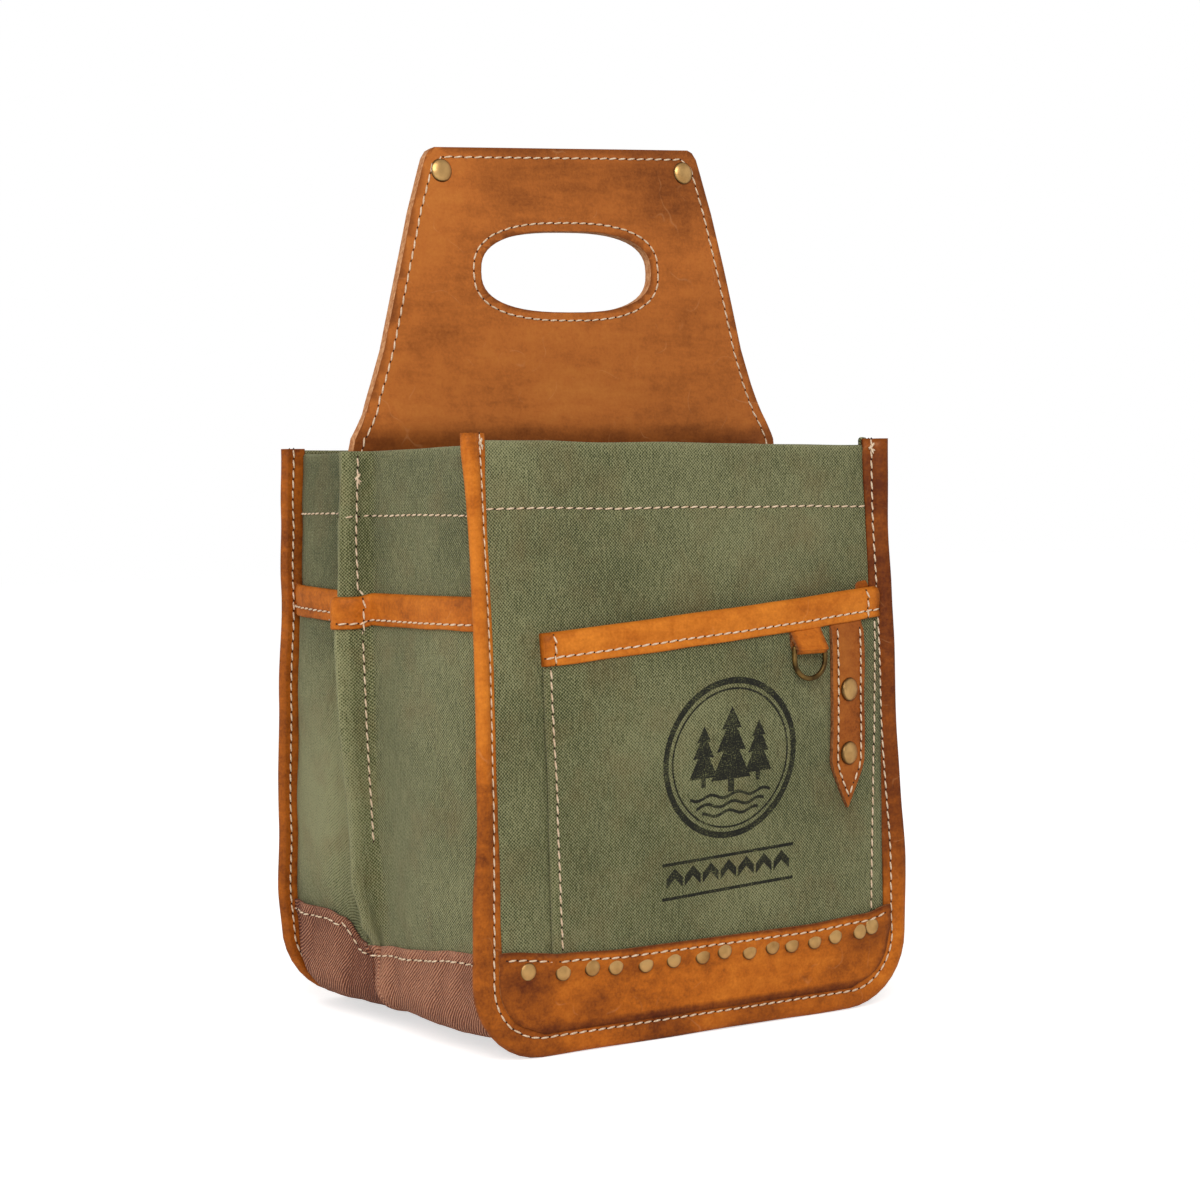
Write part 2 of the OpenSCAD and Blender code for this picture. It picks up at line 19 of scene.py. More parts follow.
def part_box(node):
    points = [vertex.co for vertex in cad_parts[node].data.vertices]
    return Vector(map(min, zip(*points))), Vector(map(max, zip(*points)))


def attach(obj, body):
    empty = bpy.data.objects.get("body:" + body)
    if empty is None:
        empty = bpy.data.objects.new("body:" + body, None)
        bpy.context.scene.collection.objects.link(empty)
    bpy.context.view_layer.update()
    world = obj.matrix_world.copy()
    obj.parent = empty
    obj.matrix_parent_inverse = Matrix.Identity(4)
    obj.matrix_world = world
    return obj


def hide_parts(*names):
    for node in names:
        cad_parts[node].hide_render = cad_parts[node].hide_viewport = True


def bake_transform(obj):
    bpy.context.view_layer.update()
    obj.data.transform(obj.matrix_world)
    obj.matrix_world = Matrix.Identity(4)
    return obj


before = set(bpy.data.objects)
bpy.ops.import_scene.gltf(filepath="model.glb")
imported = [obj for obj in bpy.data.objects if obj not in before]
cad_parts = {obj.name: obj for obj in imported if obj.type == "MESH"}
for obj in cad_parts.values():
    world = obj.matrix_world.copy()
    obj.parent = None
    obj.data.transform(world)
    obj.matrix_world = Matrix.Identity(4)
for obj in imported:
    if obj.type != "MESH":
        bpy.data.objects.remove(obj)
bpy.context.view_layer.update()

LOG = logging.getLogger("carrier")
MM = 0.001
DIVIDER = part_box("centre_divider")
# A large rivet's head, and how far behind the middle the ridges and the handle stand
RIVET, CROWN = 5.0, 1.8
RIDGE_Y = 6.0
MIDDLE_Y = (DIVIDER[0].y + DIVIDER[1].y) / 2 / MM

Spot = tuple[Vector, Vector]
Flat = list[tuple[float, float]]
Place = Callable[[float, float], Spot]


class Side(Enum):
    """Left or right of the carrier, seen from the front."""

    LEFT = -1
    RIGHT = 1


class Face(Enum):
    """The front or the back of the carrier."""

    FRONT = -1
    BACK = 1


def at(point: Vector) -> Vector:
    """A point of the bag's frame in the row frame's metres."""
    return Vector((point.x, point.y + MIDDLE_Y, point.z)) * MM


def mix(a: float, b: float, share: float) -> float:
    """The value that lies a share of the way from a to b."""
    return a + (b - a) * share


def ease(value: float, low: float, high: float) -> float:
    """A smooth step from 0 at low to 1 at high."""
    share = min(max((value - low) / (high - low), 0.0), 1.0)
    return share * share * (3 - 2 * share)


def through(value: float, knots: Sequence[tuple[float, float]]) -> float:
    """The height at a value of the smooth line through a few knots.

    Args:
        value: Where to read the line.
        knots: Pairs of value and height, by rising value.

    Returns:
        The height, held level past the first and the last knot.
    """
    if value <= knots[0][0]:
        return knots[0][1]
    for (low, before), (high, after) in zip(knots, knots[1:]):
        if value <= high:
            return mix(before, after, ease(value, low, high))
    return knots[-1][1]


def ripple(seed: float, *place: float) -> float:
    """Smooth noise from about -1 to 1 at a place, a different one for each seed."""
    spot = Vector((place[0], place[1] if len(place) > 1 else 0.0, seed * 7.31))
    return noise.noise(spot)


def fold_over(run: float, rise: float, bend: float) -> tuple[float, float]:
    """Follows cloth that rises, bends over inwards and comes down again.

    Args:
        run: Distance along the cloth, from its low outer edge.
        rise: Distance that it rises before the bend.
        bend: Radius of the bend.

    Returns:
        The distance inwards, and the height above the start.
    """
    turn = math.pi * bend
    if run <= rise:
        return 0.0, run
    if run <= rise + turn:
        angle = (run - rise) / bend
        return bend * (1 - math.cos(angle)), rise + bend * math.sin(angle)
    return 2 * bend, rise - (run - rise - turn)


def running(points: Sequence[Vector]) -> list[float]:
    """The distance from the first of a line of points to each."""
    return list(accumulate(((b - a).length for a, b in zip(points, points[1:])), initial=0.0))


@dataclass(frozen=True)
class Sheet:
    """A sheet of cloth or leather, laid out as a grid and then placed point by point.

    Its place gives the point, and the way out of the cloth, at shares across and along.
    """

    name: str
    columns: int
    rows: int
    place: Place

    def _lengths(self, count: int, across: bool) -> list[float]:
        """Running lengths along the middle of the sheet, at a count of faces across or along."""
        shares = [(i / count, 0.5) if across else (0.4, i / count) for i in range(count + 1)]
        return running([self.place(u, v)[0] for u, v in shares])

    def build(
        self,
        marks: dict[str, Callable[[float, float], float]] | None = None,
        lay: Callable[[float, float], tuple[float, float]] | None = None,
    ) -> bpy.types.Object:
        """Makes the mesh, with a UV map in millimetres along the cloth.

        Args:
            marks: Attributes to store on the points, each from the shares across and along.
            lay: Gives the place on the flat cloth, where rows and columns don't follow the yarns.

        Returns:
            The new object, at the origin.
        """
        bm = bmesh.new()
        bmesh.ops.create_grid(bm, x_segments=self.columns, y_segments=self.rows, size=0.5)
        uv = bm.loops.layers.uv.new("cloth")
        layers = {name: bm.verts.layers.float.new(name) for name in marks or {}}
        widths, heights = self._lengths(self.columns, True), self._lengths(self.rows, False)
        shares = [(vert.co.x + 0.5, vert.co.y + 0.5) for vert in bm.verts]
        for vert, (u, v) in zip(bm.verts, shares):
            spot = lay(u, v) if lay else (widths[round(u * self.columns)], heights[round(v * self.rows)])
            for loop in vert.link_loops:
                loop[uv].uv = spot
            for name, mark in (marks or {}).items():
                vert[layers[name]] = mark(u, v)
            vert.co = at(self.place(u, v)[0])
        bm.normal_update()
        bm.verts.index_update()
        some = list(bm.faces)[::97]
        if sum(face.normal.dot(self.place(*shares[face.verts[0].index])[1]) for face in some) < 0:
            bmesh.ops.reverse_faces(bm, faces=bm.faces)
        return piece_from(bm, self.name)


def piece_from(bm: bmesh.types.BMesh, name: str, smooth: bool = True) -> bpy.types.Object:
    """Turns a bmesh into an object of the scene and frees it.

    Args:
        bm: The finished mesh, in the row frame's metres.
        name: The piece's name.
        smooth: Whether its faces are shaded smooth.

    Returns:
        The new object.
    """
    for face in bm.faces:
        face.smooth = smooth
    mesh = bpy.data.meshes.new(name)
    bm.to_mesh(mesh)
    bm.free()
    piece = bpy.data.objects.new(name, mesh)
    bpy.context.scene.collection.objects.link(piece)
    return piece


def thicken(
    piece: bpy.types.Object, thickness: float, outwards: float = -1.0, cut: bool = False
) -> None:
    """Gives a sheet its thickness.

    Args:
        piece: The sheet.
        thickness: Its thickness in millimetres.
        outwards: -1 to grow inwards only, 0 to grow to both sides.
        cut: Whether its cut edge shows the second material.
    """
    wall = piece.modifiers.new("thickness", "SOLIDIFY")
    wall.thickness = thickness * MM
    wall.offset = outwards
    wall.material_offset_rim = int(cut)


def soften(piece: bpy.types.Object, width: float, segments: int = 2) -> None:
    """Rounds a piece's sharp edges.

    Args:
        piece: The piece.
        width: Width of the rounding in millimetres.
        segments: Number of faces across it.
    """
    edge = piece.modifiers.new("soft edge", "BEVEL")
    edge.width = width * MM
    edge.segments = segments
    edge.limit_method = "ANGLE"
    edge.angle_limit = math.radians(50)


@dataclass(frozen=True)
class Rib:
    """One place along a swept strip: where it is, and its two directions across."""

    spot: Vector
    out: Vector
    up: Vector
    size: float = 1.0

    def point(self, out: float, up: float) -> Vector:
        """A point at distances across the strip, out and up."""
        return self.spot + (self.out * out + self.up * up) * self.size


def sweep(
    name: str,
    ribs: Sequence[Rib],
    profile: Callable[[float], Flat],
    worn: Callable[[Vector, float], float] = lambda spot, share: 0.0,
) -> bpy.types.Object:
    """Draws a closed profile along ribs, and closes both ends.

    Args:
        name: The piece's name.
        ribs: The places that the profile passes through.
        profile: Gives the profile at a distance along, as points out and up from the rib.
        worn: Gives how dark the leather is at a rib's place and a share round its profile, from wear and
            painted shade.

    Returns:
        The new object, with a UV map of millimetres around and along.
    """
    runs = running([rib.spot for rib in ribs])
    first = profile(0.0)
    count = len(first)
    around = [0.0]
    for i in range(count):
        a, b = first[i], first[(i + 1) % count]
        around.append(around[-1] + math.dist(a, b))
    bm = bmesh.new()
    bmesh.ops.create_grid(bm, x_segments=count, y_segments=len(ribs) - 1, size=0.5)
    uv = bm.loops.layers.uv.new("cloth")
    dark = bm.verts.layers.float.new("worn")
    shapes = [profile(run) for run in runs]
    for vert in bm.verts:
        column, row = round((vert.co.x + 0.5) * count), round((vert.co.y + 0.5) * (len(ribs) - 1))
        for loop in vert.link_loops:
            loop[uv].uv = (around[column], runs[row])
        out, up = shapes[row][column % count]
        vert[dark] = worn(ribs[row].spot, (column % count) / count)
        vert.co = at(ribs[row].point(out, up))
    bmesh.ops.remove_doubles(bm, verts=bm.verts, dist=1e-7)
    ends = [edge for edge in bm.edges if edge.is_boundary]
    bmesh.ops.holes_fill(bm, edges=ends)
    bmesh.ops.recalc_face_normals(bm, faces=bm.faces)
    return piece_from(bm, name)


class Form:
    """The soft body: how its seams sway, its sides swell and its ridges stand out."""

    DEPTH = 78.5
    BASE = 11.0
    TURN = {Face.FRONT: 20.0, Face.BACK: 24.0}
    SAG = 3.0
    STEP = 4.0
    OVER = {Face.FRONT: 2.6, Face.BACK: 0.6}
    SWAY = ((0, 1.7), (60, 1.65), (137, -0.65), (242, -3.9), (371, -2.4))
    FRONT_SEAM = ((31, 96), (57, 96), (137, 94.6), (242, 94))
    BACK_SEAM = (
        (31, 105), (51, 106.4), (80, 104.9), (134, 101.6), (184, 98.2), (215, 96.2), (242, 94.8),
    )
    FRONT_WALL = ((31, 102.5), (60, 105), (110, 105.5), (160, 103.5), (200, 100.5), (242, 98.4))
    BACK_WALL = (
        (31, 107), (60, 110), (90, 109.3), (120, 107.9), (160, 105.5), (200, 102.5), (242, 98.4),
    )
    ROOT = ((30, 103.5), (64, 102.8), (159, 102.5), (196, 101.2), (242, 98.8))
    TIP = (
        (31, 103.6), (37, 105.2), (45, 110), (64, 114.8), (114, 116), (159, 117), (196, 115), (242, 112.1),
    )
    BROWN_EDGE = (
        (-79, 43), (-73, 42.8), (-10, 37.2), (10, 35.2), (17, 36), (27, 44.5), (38, 46.8), (79, 46.3),
    )

    def sway(self, z: float) -> float:
        """How far the soft body leans to the right at a height."""
        return through(z, self.SWAY)

    def half(self, face: Face, z: float) -> float:
        """Measures half of the distance between the two seams of a face.

        Args:
            face: Front or back.
            z: Height.

        Returns:
            The distance in millimetres.
        """
        seam = through(z, self.FRONT_SEAM if face is Face.FRONT else self.BACK_SEAM)
        bend = self.TURN[face]
        if z < self.BASE + bend:
            low = bend - (max(z, self.BASE) - self.BASE)
            seam -= bend - math.sqrt(max(bend**2 - low**2, 0.0))
        return seam

    def rim(self, x: float) -> float:
        """Height of the front and back panels' top edge."""
        return mix(242.4, 240.4, (x + 97) / 185) + 0.5 * ripple(3.1, x / 26)

    def side_rim(self, y: float) -> float:
        """Height of the gussets' top edge."""
        hook = 3.0 * ease(y, -70, -76.5)
        return 240.3 + hook + 0.4 * (y / 78) ** 2 + 0.5 * ripple(5.2, y / 21)

    def bend(self, u: float) -> float:
        """Radius of the turn from base to side: the bindings' own at the seams, tight in between."""
        seam = self.TURN[Face.FRONT if u < 0.5 else Face.BACK]
        return mix(seam, 13.0, ease(0.5 - abs(u - 0.5), 0.0, 0.13))

    def bottom(self, u: float) -> float:
        """Height of the base's cloth, which hangs down between the two bindings."""
        return self.BASE - self.SAG * ease(0.5 - abs(u - 0.5), 0.0, 0.16)

    def knots(self, z: float) -> list[Vector]:
        """The gusset's section at a height, from the front seam to the back seam.

        Args:
            z: Height above the ground.

        Returns:
            Points of half-width and y.
        """
        root, tip = through(z, self.ROOT), through(z, self.TIP)
        front, back = through(z, self.FRONT_SEAM), through(z, self.BACK_SEAM)
        near, far = through(z, self.FRONT_WALL), through(z, self.BACK_WALL)
        reach = tip - root
        line = [
            (front, -self.DEPTH), (front + 3.6, -75.2), (mix(front + 4.6, near, 0.35), -66),
            (near, -46), (near - 0.2, -26), (mix(near, root, 0.8), -9), (root + reach * 0.05, -0.5),
            (root + reach * 0.33, 2.4), (root + reach * 0.72, 3.2), (tip - reach * 0.06, 4.3),
            (tip, RIDGE_Y), (tip - reach * 0.06, 7.7), (root + reach * 0.72, 8.8),
            (root + reach * 0.33, 9.6), (root + reach * 0.05, 12.5),
            (mix(far, root, 0.7), 21), (far - 0.2, 36), (far, 52), (mix(back + 2.5, far, 0.5), 65),
            (back + 0.2, 74.8), (back, self.DEPTH),
        ]
        return [Vector(point) for point in line]

    def section(self, u: float, z: float, grow: float = 0.0) -> tuple[Vector, Vector]:
        """A point of the gusset's section, and the way out of the cloth there.

        Args:
            u: Share of the way from the front seam to the back seam.
            z: Height above the ground.
            grow: Distance outwards from the cloth's outer face.

        Returns:
            The point and the outward direction, each as half-width and y.
        """
        knots = self.knots(z)
        spot, along = spline(knots, u)
        out = Vector((along.y, -along.x)).normalized()
        swell = 1 - ease(abs(u - 0.5), 0.42, 0.5)
        sag = 1.3 * ripple(1.7, u * 7, z / 46)
        sag += 0.9 * ripple(3.6, u * 13, z / 75) + 0.3 * ripple(9.4, u * 19, z / 17)
        spot = spot + out * swell * sag
        return spot + out * grow, out

    def depth(self, u: float) -> float:
        """How far back a share of the gusset's width lies, just above its foot."""
        return self.section(u, 40)[0].y

    def wall(self, side: Side, u: float, z: float, grow: float = 0.0) -> Spot:
        """A point of a side wall at a share and height, moved out by grow, and the way out there."""
        (x, y), out = self.section(u, z, grow)
        return Vector((self.sway(z) + side.value * x, y, z)), Vector((side.value * out.x, out.y, 0))

    def hoop(self, u: float, run: float, grow: float = 0.0) -> Spot:
        """A point of the cloth that passes under the body and up both sides.

        Args:
            u: Share of the way from the front seam to the back seam.
            run: Distance along the cloth from the middle of the base, to the right.
            grow: Distance outwards from the gusset's outer face.

        Returns:
            The point and the way out of the cloth there.
        """
        side = Side.RIGHT if run >= 0 else Side.LEFT
        bend = self.bend(u)
        low = self.bottom(u) + bend
        flat = self.section(u, low)[0].x - bend
        far = abs(run) - flat
        if far > bend * math.pi / 2:
            return self.wall(side, u, low + far - bend * math.pi / 2, grow)
        spot, out = self.section(u, low, grow)
        angle = max(far, 0.0) / bend
        drop = bend * math.cos(angle)
        x = min(abs(run), flat) + bend * math.sin(angle) + out.x * grow * math.sin(angle)
        z = low - drop - abs(out.x) * grow * math.cos(angle)
        sag = 1.1 * ripple(4.4, u * 3, run / 40) * math.cos(angle) * (1 - (2 * u - 1) ** 4)
        point = Vector((self.sway(low) + side.value * x, spot.y, z + sag))
        return point, Vector((side.value * math.sin(angle), 0, -math.cos(angle)))

    def hoop_length(self, u: float, z: float) -> float:
        """Distance along the cloth from the middle of the base up to a height, at a share."""
        bend, low = self.bend(u), self.bottom(u) + self.bend(u)
        return self.section(u, low)[0].x - bend + bend * math.pi / 2 + z - low

    def panel(self, face: Face, x: float, z: float, grow: float = 0.0) -> Spot:
        """Finds a point of the front or back panel.

        Args:
            face: Front or back.
            x: Place across.
            z: Height.
            grow: Distance outwards.

        Returns:
            The point and the way out there.
        """
        depth = face.value * self.DEPTH
        calm = ease(z, 40, 90)
        swell = (0.9 * ripple(2.3 + face.value, x / 45, z / 60) + 0.35 * ripple(6.1, x / 17, z / 22)) * calm
        swell += 1.2 * math.sin(math.pi * min(max((z - 20) / 215, 0), 1)) * (1 - (x / 97) ** 2)
        return Vector((x, depth + face.value * (swell + grow), z)), Vector((0, face.value, 0))

    def seam(self, face: Face) -> list[Rib]:
        """The seam of a face from its top left down, along the base and up to its top right.

        Args:
            face: Front or back.

        Returns:
            Ribs whose out direction points away from the panel and whose up direction faces out.
        """
        ribs: list[Rib] = []
        depth = face.value * self.DEPTH
        bend = self.TURN[face]
        low = self.BASE + bend
        for side in (Side.LEFT, Side.RIGHT):
            arm: list[Rib] = []
            top = self.rim(side.value * 95) + self.OVER[face]
            steps = round((top - low) / self.STEP)
            for i in range(steps):
                z = mix(top, low, i / steps)
                x = self.sway(z) + side.value * self.half(face, z)
                arm.append(self._rib(face, Vector((x, depth, z)), Vector((side.value, 0, 0)), z))
            centre = Vector((self.sway(low) + side.value * (self.half(face, low) - bend), depth, low))
            for i in range(9):
                angle = math.pi / 2 * i / 9
                out = Vector((side.value * math.cos(angle), 0, -math.sin(angle)))
                arm.append(self._rib(face, centre + out * bend, out, low * (1 - i / 9)))
            ribs += arm if side is Side.LEFT else [self._flat(face, i / 40) for i in range(41)] + arm[::-1]
        return ribs

    def _flat(self, face: Face, share: float) -> Rib:
        """Places a rib on the straight stretch of the seam along the base.

        Args:
            face: Front or back.
            share: Share of the way from left to right.

        Returns:
            The rib.
        """
        depth = face.value * self.DEPTH
        reach = self.half(face, self.BASE + self.TURN[face]) - self.TURN[face]
        x = self.sway(self.BASE) + mix(-reach, reach, share)
        slim = 1.0 if face is Face.FRONT else mix(0.82, 1.0, ease(0.5 - abs(share - 0.5), 0.0, 0.15))
        return Rib(Vector((x, depth, self.BASE)), Vector((0, 0, -1)), Vector((0, face.value, 0)), slim)

    def _rib(self, face: Face, spot: Vector, out: Vector, z: float) -> Rib:
        """Places a rib of the seam, turned to its face's viewer as the stiff binding turns.

        Args:
            face: Front or back.
            spot: The place on the seam.
            out: The way out of the body.
            z: The height that decides how far it turns.

        Returns:
            The rib.
        """
        front = ((0, 0), (30, 4), (57, 12), (110, 30), (137, 33), (200, 34), (225, 33), (242, 26))
        turn = math.radians(through(z, front if face is Face.FRONT else ((0, 0), (137, 4), (242, 2))))
        slim = through(z, ((0, 1), (57, 1), (100, 0.84), (205, 0.82), (242, 0.95)))
        slim = slim if face is Face.FRONT else 0.82
        ahead = Vector((0, face.value, 0))
        return Rib(
            spot,
            out * math.cos(turn) + ahead * math.sin(turn),
            ahead * math.cos(turn) - out * math.sin(turn),
            slim,
        )


def spline(knots: Sequence[Vector], share: float) -> Spot:
    """A point of the smooth curve through knots, and its direction.

    Args:
        knots: The points that the curve passes through.
        share: Share of the way along, where each stretch between knots counts the same.

    Returns:
        The point and the direction along the curve.
    """
    last = len(knots) - 1
    place = min(max(share, 0.0), 1.0) * last
    i = min(int(place), last - 1)
    t = place - i
    b, c = knots[i], knots[i + 1]
    a = knots[i - 1] if i else b * 2 - c
    d = knots[i + 2] if i + 2 <= last else c * 2 - b
    spot = (b * 2 + (c - a) * t + (a * 2 - b * 5 + c * 4 - d) * t**2 + (b * 3 - a - c * 3 + d) * t**3) / 2
    along = ((c - a) + (a * 2 - b * 5 + c * 4 - d) * 2 * t + (b * 3 - a - c * 3 + d) * 3 * t**2) / 2
    return spot, along


FORM = Form()


def linear(code: str) -> tuple[float, float, float, float]:
    """Turns an sRGB colour into the linear values that Blender's nodes take.

    Args:
        code: The colour as a hex code.

    Returns:
        Red, green, blue and a full alpha.
    """
    parts = [int(code[i : i + 2], 16) / 255 for i in (1, 3, 5)]
    values = [part / 12.92 if part <= 0.04045 else ((part + 0.055) / 1.055) ** 2.4 for part in parts]
    return (values[0], values[1], values[2], 1.0)


class Nodes:
    """A node tree that is filled one node at a time."""

    def __init__(self, tree: bpy.types.NodeTree) -> None:
        """Empties the tree and keeps it."""
        tree.nodes.clear()
        self.tree = tree

    def feed(self, socket: bpy.types.NodeSocket, value: object) -> None:
        """Joins an input to a node, or sets its own value.

        Args:
            socket: The input.
            value: A node for its first output, a pair of a node and an output's name, or a plain value.
        """
        if isinstance(value, bpy.types.Node):
            value = (value, 0)
        if isinstance(value, tuple) and isinstance(value[0], bpy.types.Node):
            self.tree.links.new(value[0].outputs[value[1]], socket)
        else:
            socket.default_value = value

    def node(
        self,
        kind: str,
        settings: dict[str, object] | None = None,
        links: dict[str | int, object] | None = None,
    ) -> bpy.types.Node:
        """Adds a node.

        Args:
            kind: Blender's name for the kind of node, after its prefix.
            settings: The node's own settings. The one named stops gives a ramp's places and colours.
            links: What goes into its inputs, by their names or numbers.

        Returns:
            The new node.
        """
        new = self.tree.nodes.new("ShaderNode" + kind)
        for name, value in (settings or {}).items():
            if name != "stops":
                setattr(new, name, value)
                continue
            band = new.color_ramp.elements
            while len(band) < len(value):
                band.new(0.5)
            for element, (place, code) in zip(band, value):
                element.position = place
                element.color = linear(code)
        for key, value in (links or {}).items():
            self.feed(new.inputs[key], value)
        return new


class Paint(Nodes):
    """One material, with its shader joined to its output."""

    def __init__(self, name: str) -> None:
        """Starts the material.

        Args:
            name: The material's name.
        """
        self.material = bpy.data.materials.new(name)
        self.material.use_nodes = True
        super().__init__(self.material.node_tree)
        self.shader = self.node("BsdfPrincipled")
        self.node("OutputMaterial", links={"Surface": self.shader})

    def finish(self, sockets: dict[str, object]) -> bpy.types.Material:
        """Feeds the shader and hands the material over.

        Args:
            sockets: What goes into the shader's inputs, by their names.

        Returns:
            The finished material.
        """
        for name, value in sockets.items():
            self.feed(self.shader.inputs[name], value)
        return self.material


# Settings of the nodes that add a share of a value, multiply, add, take a sine and mix two colours
SHARE, TIMES, PLUS, SINE = ({"operation": name} for name in ("MULTIPLY_ADD", "MULTIPLY", "ADD", "SINE"))
TINT = {"data_type": "RGBA"}


@dataclass(frozen=True)
class Canvas:
    """Woven cotton duck, dyed and washed down, so that yarn shows and folds have paled. Its mark also paints
    highlights on fold crests, and painted light and shade over whole areas.
    """

    name: str
    deep: str
    body: str
    pale: str
    rust: str
    pitch: float = 1.4
    twill: bool = False

    def make(self) -> bpy.types.Material:
        """Makes the material.

        Returns:
            A plain weave, or a twill with its diagonal, drawn on the cloth's own UV map.
        """
        paint = Paint(self.name)
        add = paint.node
        where = add("UVMap", {"uv_map": "cloth"})
        place = (add("TexCoord"), "Object")
        yarn = self._yarn(paint, where)
        drawn_out = add("Mapping", links={"Vector": where, "Scale": (0.9, 0.14, 1.0)})
        slub, fleck, patch, cloud = (
            add("TexNoise", links={"Vector": spot, "Scale": scale, "Detail": detail, "Roughness": rough})
            for spot, scale, detail, rough in (
                (drawn_out, 1.0, 4.0, 0.55), (where, 0.9, 4.0, 0.7), (place, 16.0, 4.0, 0.6),
                (place, 48.0, 3.0, 0.6),
            )
        )
        # The mark pales the cloth: real wear on folds and edges, painted highlights on fold crests and
        # painted light on lit areas. Low values leave painted shade.
        worn = (add("Attribute", {"attribute_name": "worn"}), "Fac")
        tone: object = -0.475
        for part, share in ((slub, 0.5), (fleck, 0.9), (yarn, 0.33), (patch, 0.55), (worn, 0.2)):
            tone = add("Math", SHARE, {0: part, 1: share, 2: tone})
        dye = ((0.24, self.deep), (0.5, self.body), (0.8, self.pale))
        colour = add("ValToRGB", {"stops": dye}, {"Fac": tone})
        stain = add("MapRange", links={"Value": cloud, "From Min": 0.5, "From Max": 0.8, "To Max": 0.35})
        stained = add("Mix", TINT, {0: stain, 6: colour, 7: linear(self.rust)})
        flecks = add("Math", TIMES, {0: fleck, 1: 1.1})
        height = add("Math", SHARE, {0: yarn, 1: 0.7, 2: flecks})
        normal = add("Bump", links={"Height": height, "Strength": 0.9, "Distance": 0.4 * MM})
        return paint.finish({
            "Base Color": (stained, 2),
            "Normal": normal,
            "Roughness": 0.93,
            "IOR": 1.5,
            "Specular IOR Level": 0.15,
            "Sheen Weight": 0.08,
            "Sheen Roughness": 0.6,
        })

    def _yarn(self, paint: Paint, where: bpy.types.Node) -> bpy.types.Node:
        """Adds the weave's height.

        Args:
            paint: The material.
            where: The node that gives the place on the cloth in millimetres.

        Returns:
            The node that gives the height, about -1 to 1.
        """
        add = paint.node
        # Real duck has about 0.6 mm between yarns. Half of the pitch is drawn between two, so that it shows
        stir = (add("TexNoise", links={"Vector": where, "Scale": 0.25}), "Color")
        wander = add("VectorMath", SHARE, {0: stir, 1: (0.9, 0.9, 0.0), 2: where})
        split = add("SeparateXYZ", links={"Vector": wander})
        turn = 2 * math.pi / self.pitch
        across = add("Math", TIMES, {0: (split, "X"), 1: turn})
        along = add("Math", TIMES, {0: (split, "Y"), 1: turn})
        if self.twill:
            slope = add("Math", SHARE, {0: along, 1: -1.15, 2: across})
            slant = add("Math", SINE, {0: slope})
            both = add("Math", PLUS, {0: across, 1: along})
            twice = add("Math", PLUS, {0: both, 1: both})
            cross = add("Math", SINE, {0: twice})
            return add("Math", SHARE, {0: cross, 1: 0.35, 2: slant})
        warp = add("Math", SINE, {0: across})
        weft = add("Math", SINE, {0: along})
        cell = add("Math", TIMES, {0: warp, 1: weft})
        twice = add("Math", PLUS, {0: across, 1: across})
        rib = add("Math", SINE, {0: twice})
        return add("Math", SHARE, {0: rib, 1: 0.25, 2: cell})


